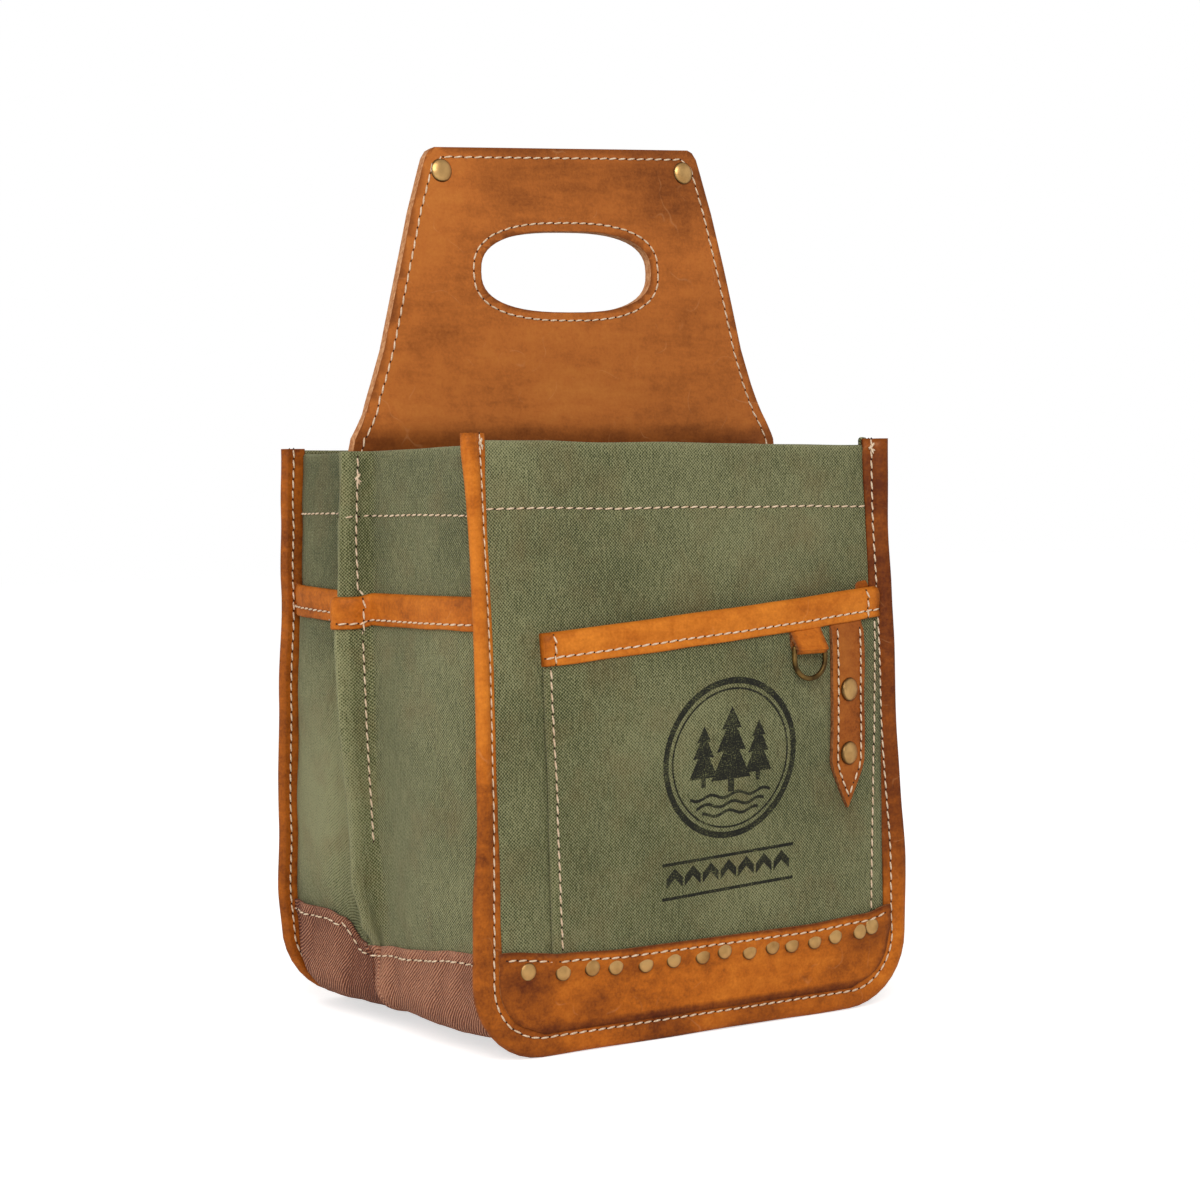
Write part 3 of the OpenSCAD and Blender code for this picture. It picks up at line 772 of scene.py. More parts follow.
@dataclass(frozen=True)
class Leather:
    """Vegetable-tanned cow leather, oiled and hand-rubbed, darker along edges and where painted shade falls:
    on sides away from the lamps, at the handle's foot and in crevices.
    """

    name: str
    deep: str
    body: str
    bright: str
    spread: float = 22.0
    gloss: float = 0.5
    contrast: float = 0.8
    grit: float = 0.32
    scratch: str = "#dca06a"

    def make(self) -> bpy.types.Material:
        """Makes the material.

        Returns:
            Rubbed cloudy colour, fine streaks and scratches, and a pebbled grain about a millimetre wide.
        """
        paint = Paint(self.name)
        add = paint.node
        place = (add("TexCoord"), "Object")
        streaks = add("Mapping", links={"Vector": place, "Scale": (40, 40, 190)})
        cloud, wisp, fine, dust, crease = (
            add("TexNoise", links={"Vector": spot, "Scale": scale, "Detail": detail, "Roughness": rough})
            for spot, scale, detail, rough in (
                (place, self.spread, 5.0, 0.62), (streaks, 1.0, 4.0, 0.65), (place, 210.0, 4.0, 0.7),
                (place, 900.0, 2.0, 0.5), (place, 160.0, 5.0, 0.7),
            )
        )
        # The mark darkens the leather: real wear at edges and ends, and painted shade on sides away from the
        # lamps, at the handle's foot and in crevices by the lips.
        dark = (add("Attribute", {"attribute_name": "worn"}), "Fac")
        parts = ((wisp, 0.24), (cloud, self.contrast), (fine, self.grit), (dust, self.grit * 0.75))
        tone: object = 0.5 - sum(share for _, share in parts) / 2
        for part, share in (*parts, (dark, -0.16)):
            tone = add("Math", SHARE, {0: part, 1: share, 2: tone})
        tan = ((0.28, self.deep), (0.5, self.body), (0.74, self.bright))
        colour = add("ValToRGB", {"stops": tan}, {"Fac": tone})
        # Wear and painted shade pull the colour towards the deep tone.
        shade = add("MapRange", links={"Value": dark, "To Max": 0.7})
        rubbed = add("Mix", TINT, {0: shade, 6: colour, 7: linear(self.deep)})
        scuff = self._scratches(paint, place)
        marked = add("Mix", TINT, {0: scuff, 6: (rubbed, 2), 7: linear(self.scratch)})
        # Cow grain is pebbled at about 0.7 mm, drawn at 1 mm so that it shows
        grain = add("TexVoronoi", {"feature": "F1"}, {"Vector": place, "Scale": 1000.0, "Randomness": 1.0})
        low = add("Bump", links={"Height": crease, "Strength": 0.35, "Distance": 0.5 * MM})
        pebbles = {"Height": grain, "Strength": 0.25, "Distance": 0.12 * MM, "Normal": low}
        normal = add("Bump", links=pebbles)
        gloss = self.gloss + 0.16
        rough = add("Math", SHARE, {0: cloud, 1: -0.22, 2: gloss})
        return paint.finish({
            "Base Color": (marked, 2),
            "Normal": normal,
            "Roughness": rough,
            "IOR": 1.48,
            "Specular IOR Level": 0.16,
        })

    def _scratches(self, paint: Paint, place: tuple[bpy.types.Node, str]) -> bpy.types.Node:
        """Adds thin pale scratches, along the lines where a soft noise is at its middle.

        Args:
            paint: The material.
            place: The output that gives the place on the object.

        Returns:
            The node that gives how much of a scratch shows.
        """
        add = paint.node
        aside = add("Mapping", links={"Vector": place, "Location": (3, 1, 2)})
        trail = add("TexNoise", links={"Vector": aside, "Scale": 34.0, "Detail": 2.0, "Roughness": 0.4})
        off = add("Math", {"operation": "SUBTRACT"}, {0: trail, 1: 0.5})
        thin = add("Math", {"operation": "ABSOLUTE"}, {0: off})
        line = add("MapRange", links={"Value": thin, "From Max": 0.006, "To Min": 0.2, "To Max": 0.0})
        some = add("TexNoise", links={"Vector": place, "Scale": 90.0, "Detail": 2.0, "Roughness": 0.5})
        gate = add("MapRange", links={"Value": some, "From Min": 0.5, "From Max": 0.62})
        return add("Math", TIMES, {0: line, 1: gate})


@dataclass(frozen=True)
class Brass:
    """Brass with a baked antique lacquer, rubbed bright on the crowns and brown in patches, with painted
    shadow round the rims.
    """

    name: str
    bright: str
    aged: str
    share: float
    # Colour of the painted shadow round each head's rim
    rim: str = "#3d2912"

    def make(self) -> bpy.types.Material:
        """Makes the material.

        Returns:
            Metal that turns from bright to brown in soft patches, with painted shadow on the rims and fine
            scratches.
        """
        paint = Paint(self.name)
        add = paint.node
        place = (add("TexCoord"), "Object")
        patina = add("TexNoise", links={"Vector": place, "Scale": 150.0, "Detail": 3.0, "Roughness": 0.5})
        spread = {"Value": patina, "From Min": self.share - 0.2, "From Max": self.share + 0.2}
        fade = add("MapRange", links=spread)
        lacquer = {0: fade, 6: linear(self.bright), 7: linear(self.aged)}
        colour = add("Mix", TINT, lacquer)
        # The mark paints shadow on each head's outer rim, a dark outline where it meets the leather
        edge = (add("Attribute", {"attribute_name": "worn"}), "Fac")
        shade = add("Math", TIMES, {0: edge, 1: 0.8})
        shadowed_rim = add("Mix", TINT, {0: shade, 6: (colour, 2), 7: linear(self.rim)})
        scratch = add("TexNoise", links={"Vector": place, "Scale": 1500.0, "Detail": 3.0, "Roughness": 0.6})
        rough = add("Math", SHARE, {0: fade, 1: 0.14, 2: 0.36})
        normal = add("Bump", links={"Height": scratch, "Strength": 0.05, "Distance": 0.02 * MM})
        finish = {"Base Color": (shadowed_rim, 2), "Metallic": 1.0, "Roughness": rough, "Normal": normal}
        return paint.finish(finish)


@dataclass(frozen=True)
class Plain:
    """A small-surface finish: spun thread, a cut edge, a needle hole's painted shadow or grey board."""

    name: str
    dark: str
    light: str
    scale: float
    roughness: float = 0.85

    def make(self) -> bpy.types.Material:
        """Makes the material.

        Returns:
            A finish mottled between its two colours, at its scale per metre.
        """
        paint = Paint(self.name)
        place = (paint.node("TexCoord"), "Object")
        speck = {"Vector": place, "Scale": self.scale, "Detail": 3.0, "Roughness": 0.6}
        grit = paint.node("TexNoise", links=speck)
        mottle = ((0.34, self.dark), (0.66, self.light))
        colour = paint.node("ValToRGB", {"stops": mottle}, {"Fac": grit})
        normal = paint.node("Bump", links={"Height": grit, "Strength": 0.4, "Distance": 0.15 * MM})
        return paint.finish({
            "Base Color": colour,
            "Normal": normal,
            "Roughness": self.roughness,
            "Specular IOR Level": 0.3,
        })


@dataclass(frozen=True)
class Ink:
    """Water-based black ink, screen-printed on duck, that missed the low spots of the weave."""

    name: str
    black: str
    cloth: str

    def make(self) -> bpy.types.Material:
        """Makes the material.

        Returns:
            A matt black film through which specks of cloth show.
        """
        paint = Paint(self.name)
        add = paint.node
        where = add("UVMap", {"uv_map": "cloth"})
        speck = add("TexNoise", links={"Vector": where, "Scale": 1.6, "Detail": 2.0, "Roughness": 0.6})
        rubbed = add("TexNoise", links={"Vector": where, "Scale": 0.09, "Detail": 3.0, "Roughness": 0.6})
        missed = add("Math", SHARE, {0: rubbed, 1: 0.5, 2: speck})
        bare = add("MapRange", links={"Value": missed, "From Min": 0.78, "From Max": 0.98})
        colour = add("Mix", TINT, {0: bare, 6: linear(self.black), 7: linear(self.cloth)})
        normal = add("Bump", links={"Height": speck, "Strength": 0.6, "Distance": 0.2 * MM})
        return paint.finish({
            "Base Color": (colour, 2),
            "Normal": normal,
            "Roughness": 0.9,
            "Specular IOR Level": 0.2,
        })


class Finishes:
    """All the materials, made once."""

    def __init__(self) -> None:
        """Makes each finish."""
        self.olive = Canvas("washed_duck_canvas", "#363a22", "#5b5e36", "#9a986e", "#7a5f38").make()
        twill = Canvas("brown_twill", "#61301c", "#935134", "#cd906f", "#6c3a27", pitch=1.75, twill=True)
        self.brown = twill.make()
        tan = Leather("rubbed_tan_leather", "#602a0c", "#bc6518", "#e4882a", 26.0, 0.5, 0.4, 0.27)
        self.tan = tan.make()
        hide = Leather("oiled_handle_leather", "#6a3410", "#b8682a", "#cf8238", 13.0, 0.46, 0.36, 0.18)
        self.hide = hide.make()
        self.dark = Leather("dark_strap_leather", "#552409", "#98501a", "#b56a28", 30.0, 0.48, 0.7).make()
        self.ink = Ink("black_screen_print", "#23231d", "#6c6d49").make()
        self.cut = Plain("cut_leather_edge", "#5f3418", "#a96c3d", 700.0).make()
        self.pale_cut = Plain("pale_cut_leather_edge", "#a8683a", "#d39a6a", 500.0).make()
        self.bright = Brass("rubbed_antique_brass", "#e4b574", "#ac7c45", 0.62).make()
        self.aged = Brass("aged_antique_brass", "#9a7a45", "#4c3a22", 0.46).make()
        self.thread = Plain("cream_cotton_thread", "#c9a782", "#f2dcc0", 1400.0, 0.8).make()
        self.hole = Plain("needle_hole_shadow", "#2a150c", "#3a2013", 900.0).make()
        self.board = Plain("grey_fibre_board", "#6d6458", "#938979", 600.0).make()


def dress(piece: bpy.types.Object, body: str, slot: str, *materials: bpy.types.Material) -> bpy.types.Object:
    """Gives a piece its materials and its body.

    Args:
        piece: The piece.
        body: The frame's body that it moves with.
        slot: Not used.
        materials: The main material, then the cut edge's.

    Returns:
        The same piece.
    """
    for material in materials:
        piece.data.materials.append(material)
    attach(piece, body)
    LOG.info("%s: %d faces, %s", piece.name, len(piece.data.polygons), materials[0].name)
    return piece


def levels(rise: float, bend: float, hem: float, step: float) -> list[float]:
    """Spaces the rows of cloth that rises, folds over and comes down as a hem.

    Args:
        rise: Distance that it rises.
        bend: Radius of the fold.
        hem: Length of the hem.
        step: About how far apart rows are before the fold.

    Returns:
        Distances along the cloth, closer in the fold.
    """
    wall = [rise * i / round(rise / step) for i in range(round(rise / step))]
    fold = [rise + math.pi * bend * i / 6 for i in range(6)]
    down = [rise + math.pi * bend + hem * i / 6 for i in range(7)]
    return wall + fold + down


class Stitches:
    """Rows of slanting machine stitches, with the needle holes' painted shadow between them."""

    def __init__(self, name: str) -> None:
        """Starts two empty meshes, one for the thread and one for the holes.

        Args:
            name: What is sewn, for the names of the pieces.
        """
        self.name = name
        self.thread = bmesh.new()
        self.holes = bmesh.new()
        self.count = 0
        bead, disc = bmesh.new(), bmesh.new()
        bmesh.ops.create_uvsphere(bead, u_segments=6, v_segments=5, radius=MM)
        bmesh.ops.create_circle(disc, cap_ends=True, segments=6, radius=MM)
        self.bead = bpy.data.meshes.new("bead")
        self.disc = bpy.data.meshes.new("disc")
        bead.to_mesh(self.bead)
        disc.to_mesh(self.disc)

    def run(self, line: Sequence[Spot], pitch: float = 4.5, length: float = 3.5, lift: float = 0.25) -> None:
        """Sews along a line.

        Args:
            line: Points, each with the way out of the cloth.
            pitch: Distance from one needle hole to the next, in millimetres.
            length: Visible length of a stitch.
            lift: Height of the thread's middle above the line.
        """
        runs = running([spot for spot, _ in line])
        count = max(int(runs[-1] / pitch), 1)
        i = 0
        for k in range(count + 1):
            run = runs[-1] * k / count
            while i < len(line) - 2 and runs[i + 1] < run:
                i += 1
            share = (run - runs[i]) / max(runs[i + 1] - runs[i], 1e-9)
            (a, out_a), (b, out_b) = line[i], line[i + 1]
            out = out_a.lerp(out_b, share).normalized()
            along = (b - a).normalized()
            across = out.cross(along).normalized()
            hole = a.lerp(b, share) + out * 0.06
            self._disc(hole, out, along)
            if k == count:
                break
            self.count += 1
            jitter = 0.35 * ripple(8.8, self.count * 0.73)
            middle = a + along * (share * (b - a).length + runs[-1] / count / 2)
            slant = (along + across * (0.13 + 0.1 * jitter)).normalized()
            middle = middle + out * lift + across * jitter * 0.3
            self._stitch(middle, slant, out, length * (1 + 0.25 * jitter))

    def knot(self, spot: Spot, along: Vector) -> None:
        """Adds the short crossed threads where a seam was locked.

        Args:
            spot: The place and the way out.
            along: The seam's direction.
        """
        point, out = spot
        across = out.cross(along).normalized()
        for i in range(5):
            turn = (along * (i - 2) * 0.5 + across * (1.0 - 0.5 * (i % 3))).normalized()
            self._stitch(point + out * (0.4 + 0.12 * i) + along * (0.5 * (i - 2)), turn, out, 3.2)

    def _stitch(self, middle: Vector, along: Vector, out: Vector, length: float) -> None:
        """Adds one stitch, a long bead that dips into the cloth at both ends."""
        axes = (out.cross(along).normalized(), out, along)
        self._stamp(self.thread, self.bead, middle, axes, (0.44, 0.35, length * 0.54))

    def _disc(self, middle: Vector, out: Vector, along: Vector) -> None:
        """Adds one needle hole's painted shadow, a small dark disc."""
        axes = (out.cross(along).normalized(), along, out)
        self._stamp(self.holes, self.disc, middle, axes, (0.38, 0.5, 1.0))

    def _stamp(
        self,
        bm: bmesh.types.BMesh,
        shape: bpy.types.Mesh,
        middle: Vector,
        axes: tuple[Vector, Vector, Vector],
        size: tuple[float, float, float],
    ) -> None:
        """Adds a copy of a small mesh.

        Args:
            bm: The mesh to add to.
            shape: The small mesh.
            middle: Its middle in millimetres.
            axes: Its three directions.
            size: Its sizes along them.
        """
        turn = Matrix(axes).transposed().to_4x4()
        copy = shape.copy()
        copy.transform(Matrix.Translation(at(middle)) @ turn @ Matrix.Diagonal((*size, 1.0)))
        bm.from_mesh(copy)
        bpy.data.meshes.remove(copy)

    def build(self, finishes: Finishes, slot: str = "tan_leather") -> list[bpy.types.Object]:
        """Makes the two objects, on no body yet.

        Args:
            finishes: All the materials.
            slot: Not used.

        Returns:
            The thread and the needle holes.
        """
        pieces = []
        for bm, name, finish in (
            (self.thread, self.name + "_thread", finishes.thread),
            (self.holes, self.name + "_holes", finishes.hole),
        ):
            piece = piece_from(bm, name)
            piece.data.materials.append(finish)
            pieces.append(piece)
        LOG.info("%s: %d stitches", self.name, self.count)
        return pieces


def dome(bm: bmesh.types.BMesh, spot: Spot, radius: float, height: float) -> None:
    """Adds a rivet's domed head with its rolled rim.

    Args:
        bm: The mesh to add to.
        spot: The middle of the head's underside, and the way out.
        radius: The head's radius in millimetres.
        height: The height of its crown.
    """
    point, out = spot
    side = out.orthogonal().normalized()
    profile = [(1.0, -0.35), (1.0, 0.1), (0.955, 0.3), (0.84, 0.52), (0.62, 0.78), (0.32, 0.95), (0.0, 1.0)]
    # The mark on the outer rim is painted shadow, a dark outline where the head meets the leather.
    rim = bm.verts.layers.float.get("worn") or bm.verts.layers.float.new("worn")
    chain = [bm.verts.new(at(point + side * radius * r + out * height * h)) for r, h in profile]
    for vert, (reach, _) in zip(chain, profile):
        vert[rim] = ease(reach, 0.8, 0.97)
    edges = [bm.edges.new(pair) for pair in zip(chain, chain[1:])]
    bmesh.ops.spin(
        bm, geom=chain + edges, cent=at(point), axis=out, angle=2 * math.pi, steps=28, use_merge=True,
    )


@dataclass
class Body:
    """The olive canvas body: front and back panels and the two gussets with their ridges."""

    finishes: Finishes
    seams: Stitches
    cloth: float = 1.2
    bend: float = 1.35
    hem: float = 26.0

    def build(self) -> None:
        """Builds the four sheets and sews their hems and ridges."""
        for face in Face:
            self._panel(face)
        for side in Side:
            self._gusset(side)
            self._ridge_seam(side)
        self._hem_seams()

    def _panel(self, face: Face) -> None:
        """Builds a panel, folded over at its top edge.

        Args:
            face: Front or back.
        """
        runs = levels(FORM.rim(0) - FORM.BASE - self.bend, self.bend, self.hem, 3.5)

        def place(u: float, v: float) -> Spot:
            """Places a point of the panel.

            Args:
                u: Share across.
                v: Share of the rows, up and then down inside.

            Returns:
                The point and the way out there.
            """
            inwards, rise = fold_over(runs[round(v * (len(runs) - 1))], runs[-13], self.bend)
            z = FORM.BASE + rise
            x = FORM.sway(z) + (2 * u - 1) * (FORM.half(face, z) + 1.5)
            z += (FORM.rim(x) - FORM.rim(0)) * ease(rise, 60, 225)
            return FORM.panel(face, x, z, -inwards)

        def worn(u: float, v: float) -> float:
            """Pales the fold at the rim."""
            past = runs[round(v * (len(runs) - 1))] - runs[-10]
            return 0.5 + 0.9 * math.exp(-((past / 2.2) ** 2))

        piece = Sheet(face.name.lower() + "_canvas", 60, len(runs) - 1, place).build({"worn": worn})
        thicken(piece, self.cloth)
        dress(piece, "root", "olive_canvas", self.finishes.olive)
        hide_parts("front_panel" if face is Face.FRONT else "back_panel")

    def _gusset(self, side: Side) -> None:
        """Builds one gusset, with its ridge, folded over at its top edge.

        Args:
            side: Left or right.
        """
        low = 31.0
        runs = levels(FORM.side_rim(0) - low - self.bend, self.bend, self.hem, 3.2)

        def place(u: float, v: float) -> Spot:
            """Places a point of the gusset.

            Args:
                u: Share from the front seam to the back seam.
                v: Share of the rows, up and then down inside.

            Returns:
                The point and the way out there.
            """
            run = runs[round(v * (len(runs) - 1))]
            inwards, rise = fold_over(run, runs[-13], self.bend)
            z = low + rise
            y = FORM.section(u, z)[0].y
            z += (FORM.side_rim(y) - FORM.side_rim(0)) * ease(rise, 60, 200)
            inwards *= 0.55 if abs(u - 0.5) < 0.17 else 1.0
            return FORM.wall(side, u, z, -inwards)

        def worn(u: float, v: float) -> float:
            """Pales the fold at the rim, paints a highlight on the ridge's fold and pales its flanks, and
            leaves the upper gusset darker as painted shade.

            Args:
                u: Share from the front seam to the back seam.
                v: Share of the rows.

            Returns:
                The worn attribute's value.
            """
            run = runs[round(v * (len(runs) - 1))]
            top = 0.9 * math.exp(-(((run - runs[-10]) / 2.2) ** 2))
            # Painted highlight along the ridge's fold
            fold = 1.5 * math.exp(-(((u - 0.5) / 0.028) ** 2))
            face = 0.65 * ease(u, 0.37, 0.42) * ease(u, 0.53, 0.49)
            # Elsewhere the mark stays at 0, darker than the panels' 0.5: painted shade on the upper gusset,
            # eased off below the rim on the front half
            return max(top, fold, face, 0.25 * ease(run, 205, 165) * ease(u, 0.45, 0.3))

        name = side.name.lower() + "_gusset_canvas"
        piece = Sheet(name, 120, len(runs) - 1, place).build({"worn": worn})
        thicken(piece, self.cloth)
        dress(piece, "root", "olive_canvas", self.finishes.olive)
        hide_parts(side.name.lower() + "_gusset")

    def _ridge_seam(self, side: Side) -> None:
        """Sews both plies of a ridge, from the rim down to the ridge's end.

        Args:
            side: Left or right.
        """
        for way in (-1, 1):
            line = []
            for i in range(76):
                z = mix(238, 79.5, i / 75)
                share = 0.5 + way * mix(0.1465, 0.128, ease(z, 178, 184))
                line.append(FORM.wall(side, share, z, stacked(z)))
            self.seams.run(line)
        self.seams.knot(FORM.wall(side, 0.372, 229, 0.2), Vector((0, 0, -1)))

    def _hem_seams(self) -> None:
        """Sews the hems' lower edges, as one row round the body."""
        for face in Face:
            line = []
            for i in range(71):
                z = mix(216.0, 214.3, i / 70)
                x = FORM.sway(z) + mix(-1, 1, i / 70) * (FORM.half(face, z) - 0.5)
                line.append(FORM.panel(face, x, z + 0.4 * ripple(7.7, x / 24)))
            self.seams.run(line)
        for side in Side:
            for first, last in ((0.03, 0.36), (0.365, 0.495), (0.505, 0.635), (0.64, 0.97)):
                line = []
                for i in range(121):
                    u = mix(first, last, i / 120)
                    z = 214.9 + 0.5 * ripple(3.3, u * 9) - 1.2 * (u < 0.5)
                    line.append(FORM.wall(side, u, z, 0.3 if abs(u - 0.5) < 0.24 else 0.0))
                self.seams.run(line)


def stacked(z: float) -> float:
    """How far the side pocket and its leather lift the ridge's stitches at a height."""
    return through(z, ((166, 1.3), (168.5, 3.2), (183, 3.2), (185, 0.1)))


@dataclass
class Base:
    """The brown gusset, one strip of twill under the body and up both sides, over the olive canvas."""

    finishes: Finishes
    seams: Stitches
    cloth: float = 1.3
    lift: float = 1.5

    def reach(self, side: Side, u: float) -> float:
        """Distance along the cloth from the middle of the base to one of the strip's top edges."""
        y = FORM.depth(u)
        return FORM.hoop_length(u, through(y, FORM.BROWN_EDGE) + 0.5 * ripple(2.9 * side.value, y / 15))

    def run(self, u: float, v: float) -> float:
        """Distance along the cloth to the right of the middle, at shares across and along."""
        return (2 * v - 1) * self.reach(Side.RIGHT if v > 0.5 else Side.LEFT, u)

    def crumple(self, u: float, run: float) -> float:
        """How far slack cloth stands out in soft folds, on the sides only.

        Args:
            u: Share of the way from the front seam to the back seam.
            run: Distance along the cloth from the middle of the base, to the right.

        Returns:
            The distance in millimetres.
        """
        y = FORM.depth(u)
        soft = 0.9 + 1.7 * ripple(6.6, y / 10 + abs(run) / 24, run / 75)
        soft += 0.6 * ripple(7.9, y / 5 + abs(run) / 14, run / 40)
        return max(soft, 0.0) * ease(abs(run), 84, 112) * (1 - ease(abs(2 * u - 1), 0.86, 1.0))

    def build(self) -> None:
        """Builds the strip with its folded top edges, and sews them."""

        def place(u: float, v: float) -> Spot:
            """Places a point of the strip."""
            run, lip = self.run(u, v), 0.5 * ease(abs(2 * v - 1), 0.94, 0.97)
            return FORM.hoop(u, run, self.lift + lip + self.crumple(u, run))

        def worn(u: float, v: float) -> float:
            """Paints highlights on the folds' crests, light on the front half and shade on the back half,
            and pales the top edge.
            """
            fold, hem = self.crumple(u, self.run(u, v)), 0.5 * ease(abs(2 * v - 1), 0.985, 1.0)
            # Painted light on the front half, painted shade on the back half, painted highlights where the
            # folds stand out, and a paler folded top edge
            return mix(-1.1, 0.55, ease(u, 0.6, 0.4)) + 0.8 * fold + hem

        def lay(u: float, v: float) -> tuple[float, float]:
            """Gives the place on the flat cloth, which was cut straight."""
            return FORM.depth(u), self.run(u, v)

        piece = Sheet("base_twill", 84, 110, place).build({"worn": worn}, lay)
        thicken(piece, self.cloth)
        dress(piece, "root", "brown_canvas", self.finishes.brown)
        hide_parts("base_gusset")
        for side in Side:
            line = []
            for i in range(91):
                u = mix(0.035, 0.965, i / 90)
                run = side.value * (self.reach(side, u) - 4.0)
                line.append(FORM.hoop(u, run, self.lift + 0.55 + self.crumple(u, run)))
            self.seams.run(line, 4.3)


@dataclass
class Bindings:
    """Leather folded over the turned-out edges of panel and gusset, along both faces' seams."""

    finishes: Finishes
    seams: Stitches
    front_row: float = 2.9
    back_row: float = 5.4

    def build(self) -> None:
        """Builds and sews both bindings."""
        for face in Face:
            ribs = FORM.seam(face)
            piece = sweep(face.name.lower() + "_seam_leather", ribs, self._profile_of(face), self._worn)
            dress(piece, "root", "tan_leather", self.finishes.tan)
            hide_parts("front_binding" if face is Face.FRONT else "back_binding")
            row = self.front_row if face is Face.FRONT else self.back_row
            for height in (1.3, -4.05):
                line = [(rib.point(row, height), rib.up if height > 0 else -rib.up) for rib in ribs]
                self.seams.run(line, 4.4, 3.5, 0.2)
            for first, second in ((1, 2), (-2, -3)):
                rib = ribs[first]
                along = (ribs[second].spot - rib.spot).normalized()
                self.seams.knot((rib.point(row, 1.4), rib.up), along)

    def _worn(self, spot: Vector, share: float) -> float:
        """Darkens the tops, the foot, the back binding and the lip's edge, paints shade on the right arms
        and in the crevice at the lip, and paints light on the front-left arm's upper part, darker below.

        Args:
            spot: A rib's place.
            share: Share of the way round the section.

        Returns:
            The worn attribute's value.
        """
        # Painted shade on the right arms, which face away from the main lamp, on a darker patch of the
        # leather itself
        right = 0.78 * ease(spot.x, 60, 92) * ease(spot.z, 30, 90)
        back = 0.38 * ease(spot.y, 0, 60)
        foot = 0.4 * ease(spot.z, 20, 12) * (0.5 + ripple(4.2, spot.x / 30))
        top = 0.45 * ease(spot.z, 228, 246)
        # Painted light on the front-left arm's upper part, which faces the main lamp; darker below
        left = ease(-spot.x, 60, 90) * mix(0.3, -0.45, ease(spot.z, 90, 150))
        # The lip: a darker edge, with painted shade in the crevice where it meets the cloth
        lip = 0.3 if share < 0.08 else 0.0
        cloud = 0.15 * ripple(8.1, spot.z / 22, spot.x / 22)
        return min(max(right, back, foot, top) + left * ease(-spot.y, 0, 60) + lip + cloud, 1.0)

    def _profile_of(self, face: Face) -> Callable[[float], Flat]:
        """Finds the section of a face's roll, which has a dip at its stitches.

        Args:
            face: Front or back.

        Returns:
            A function that gives the section at a distance along.
        """
        turn = face.value
        row = self.front_row if face is Face.FRONT else self.back_row
        far, near = (5.8, 7.8) if face is Face.FRONT else (7.9, 8.9)
        core = -1.2

        def profile(run: float) -> Flat:
            """Draws the section, fuller or flatter from place to place.

            Args:
                run: Distance along the roll.

            Returns:
                Points out and up from the rib.
            """
            puff = 1 + 0.14 * ripple(2.2 * turn, run / 19) + 0.06 * ripple(5.5, run / 6)
            lip = 0.5 * ripple(3.8 * turn, run / 14) + 0.22 * ripple(1.1, run / 5)
            wide = 0.35 * ripple(9.9, run / 23)
            section = [
                (-1.1, 0.0), (-1.1, 1.1), (-0.5, 1.5), (row - 1.7, 1.55), (row, 1.1), (row + 1.2, 1.55),
                (far, 2.0), (near, 2.1), (9.5, 1.5), (10.6, 0.4), (11.0, -1.0), (10.6, -2.4),
                (9.5, -3.5), (near, -4.1), (far, -4.1), (row + 1.2, -3.9), (row, -3.7),
                (row - 1.7, -4.0), (-0.5, -4.0), (-1.1, -3.7), (-1.1, -2.7),
            ]
            points = []
            for out, up in section:
                shift = lip if out < 0 else (wide if out > 7 else 0.0)
                points.append((out + shift, core + (up - core) * (puff if out > 3 else 1.0)))
            return points

        return profile


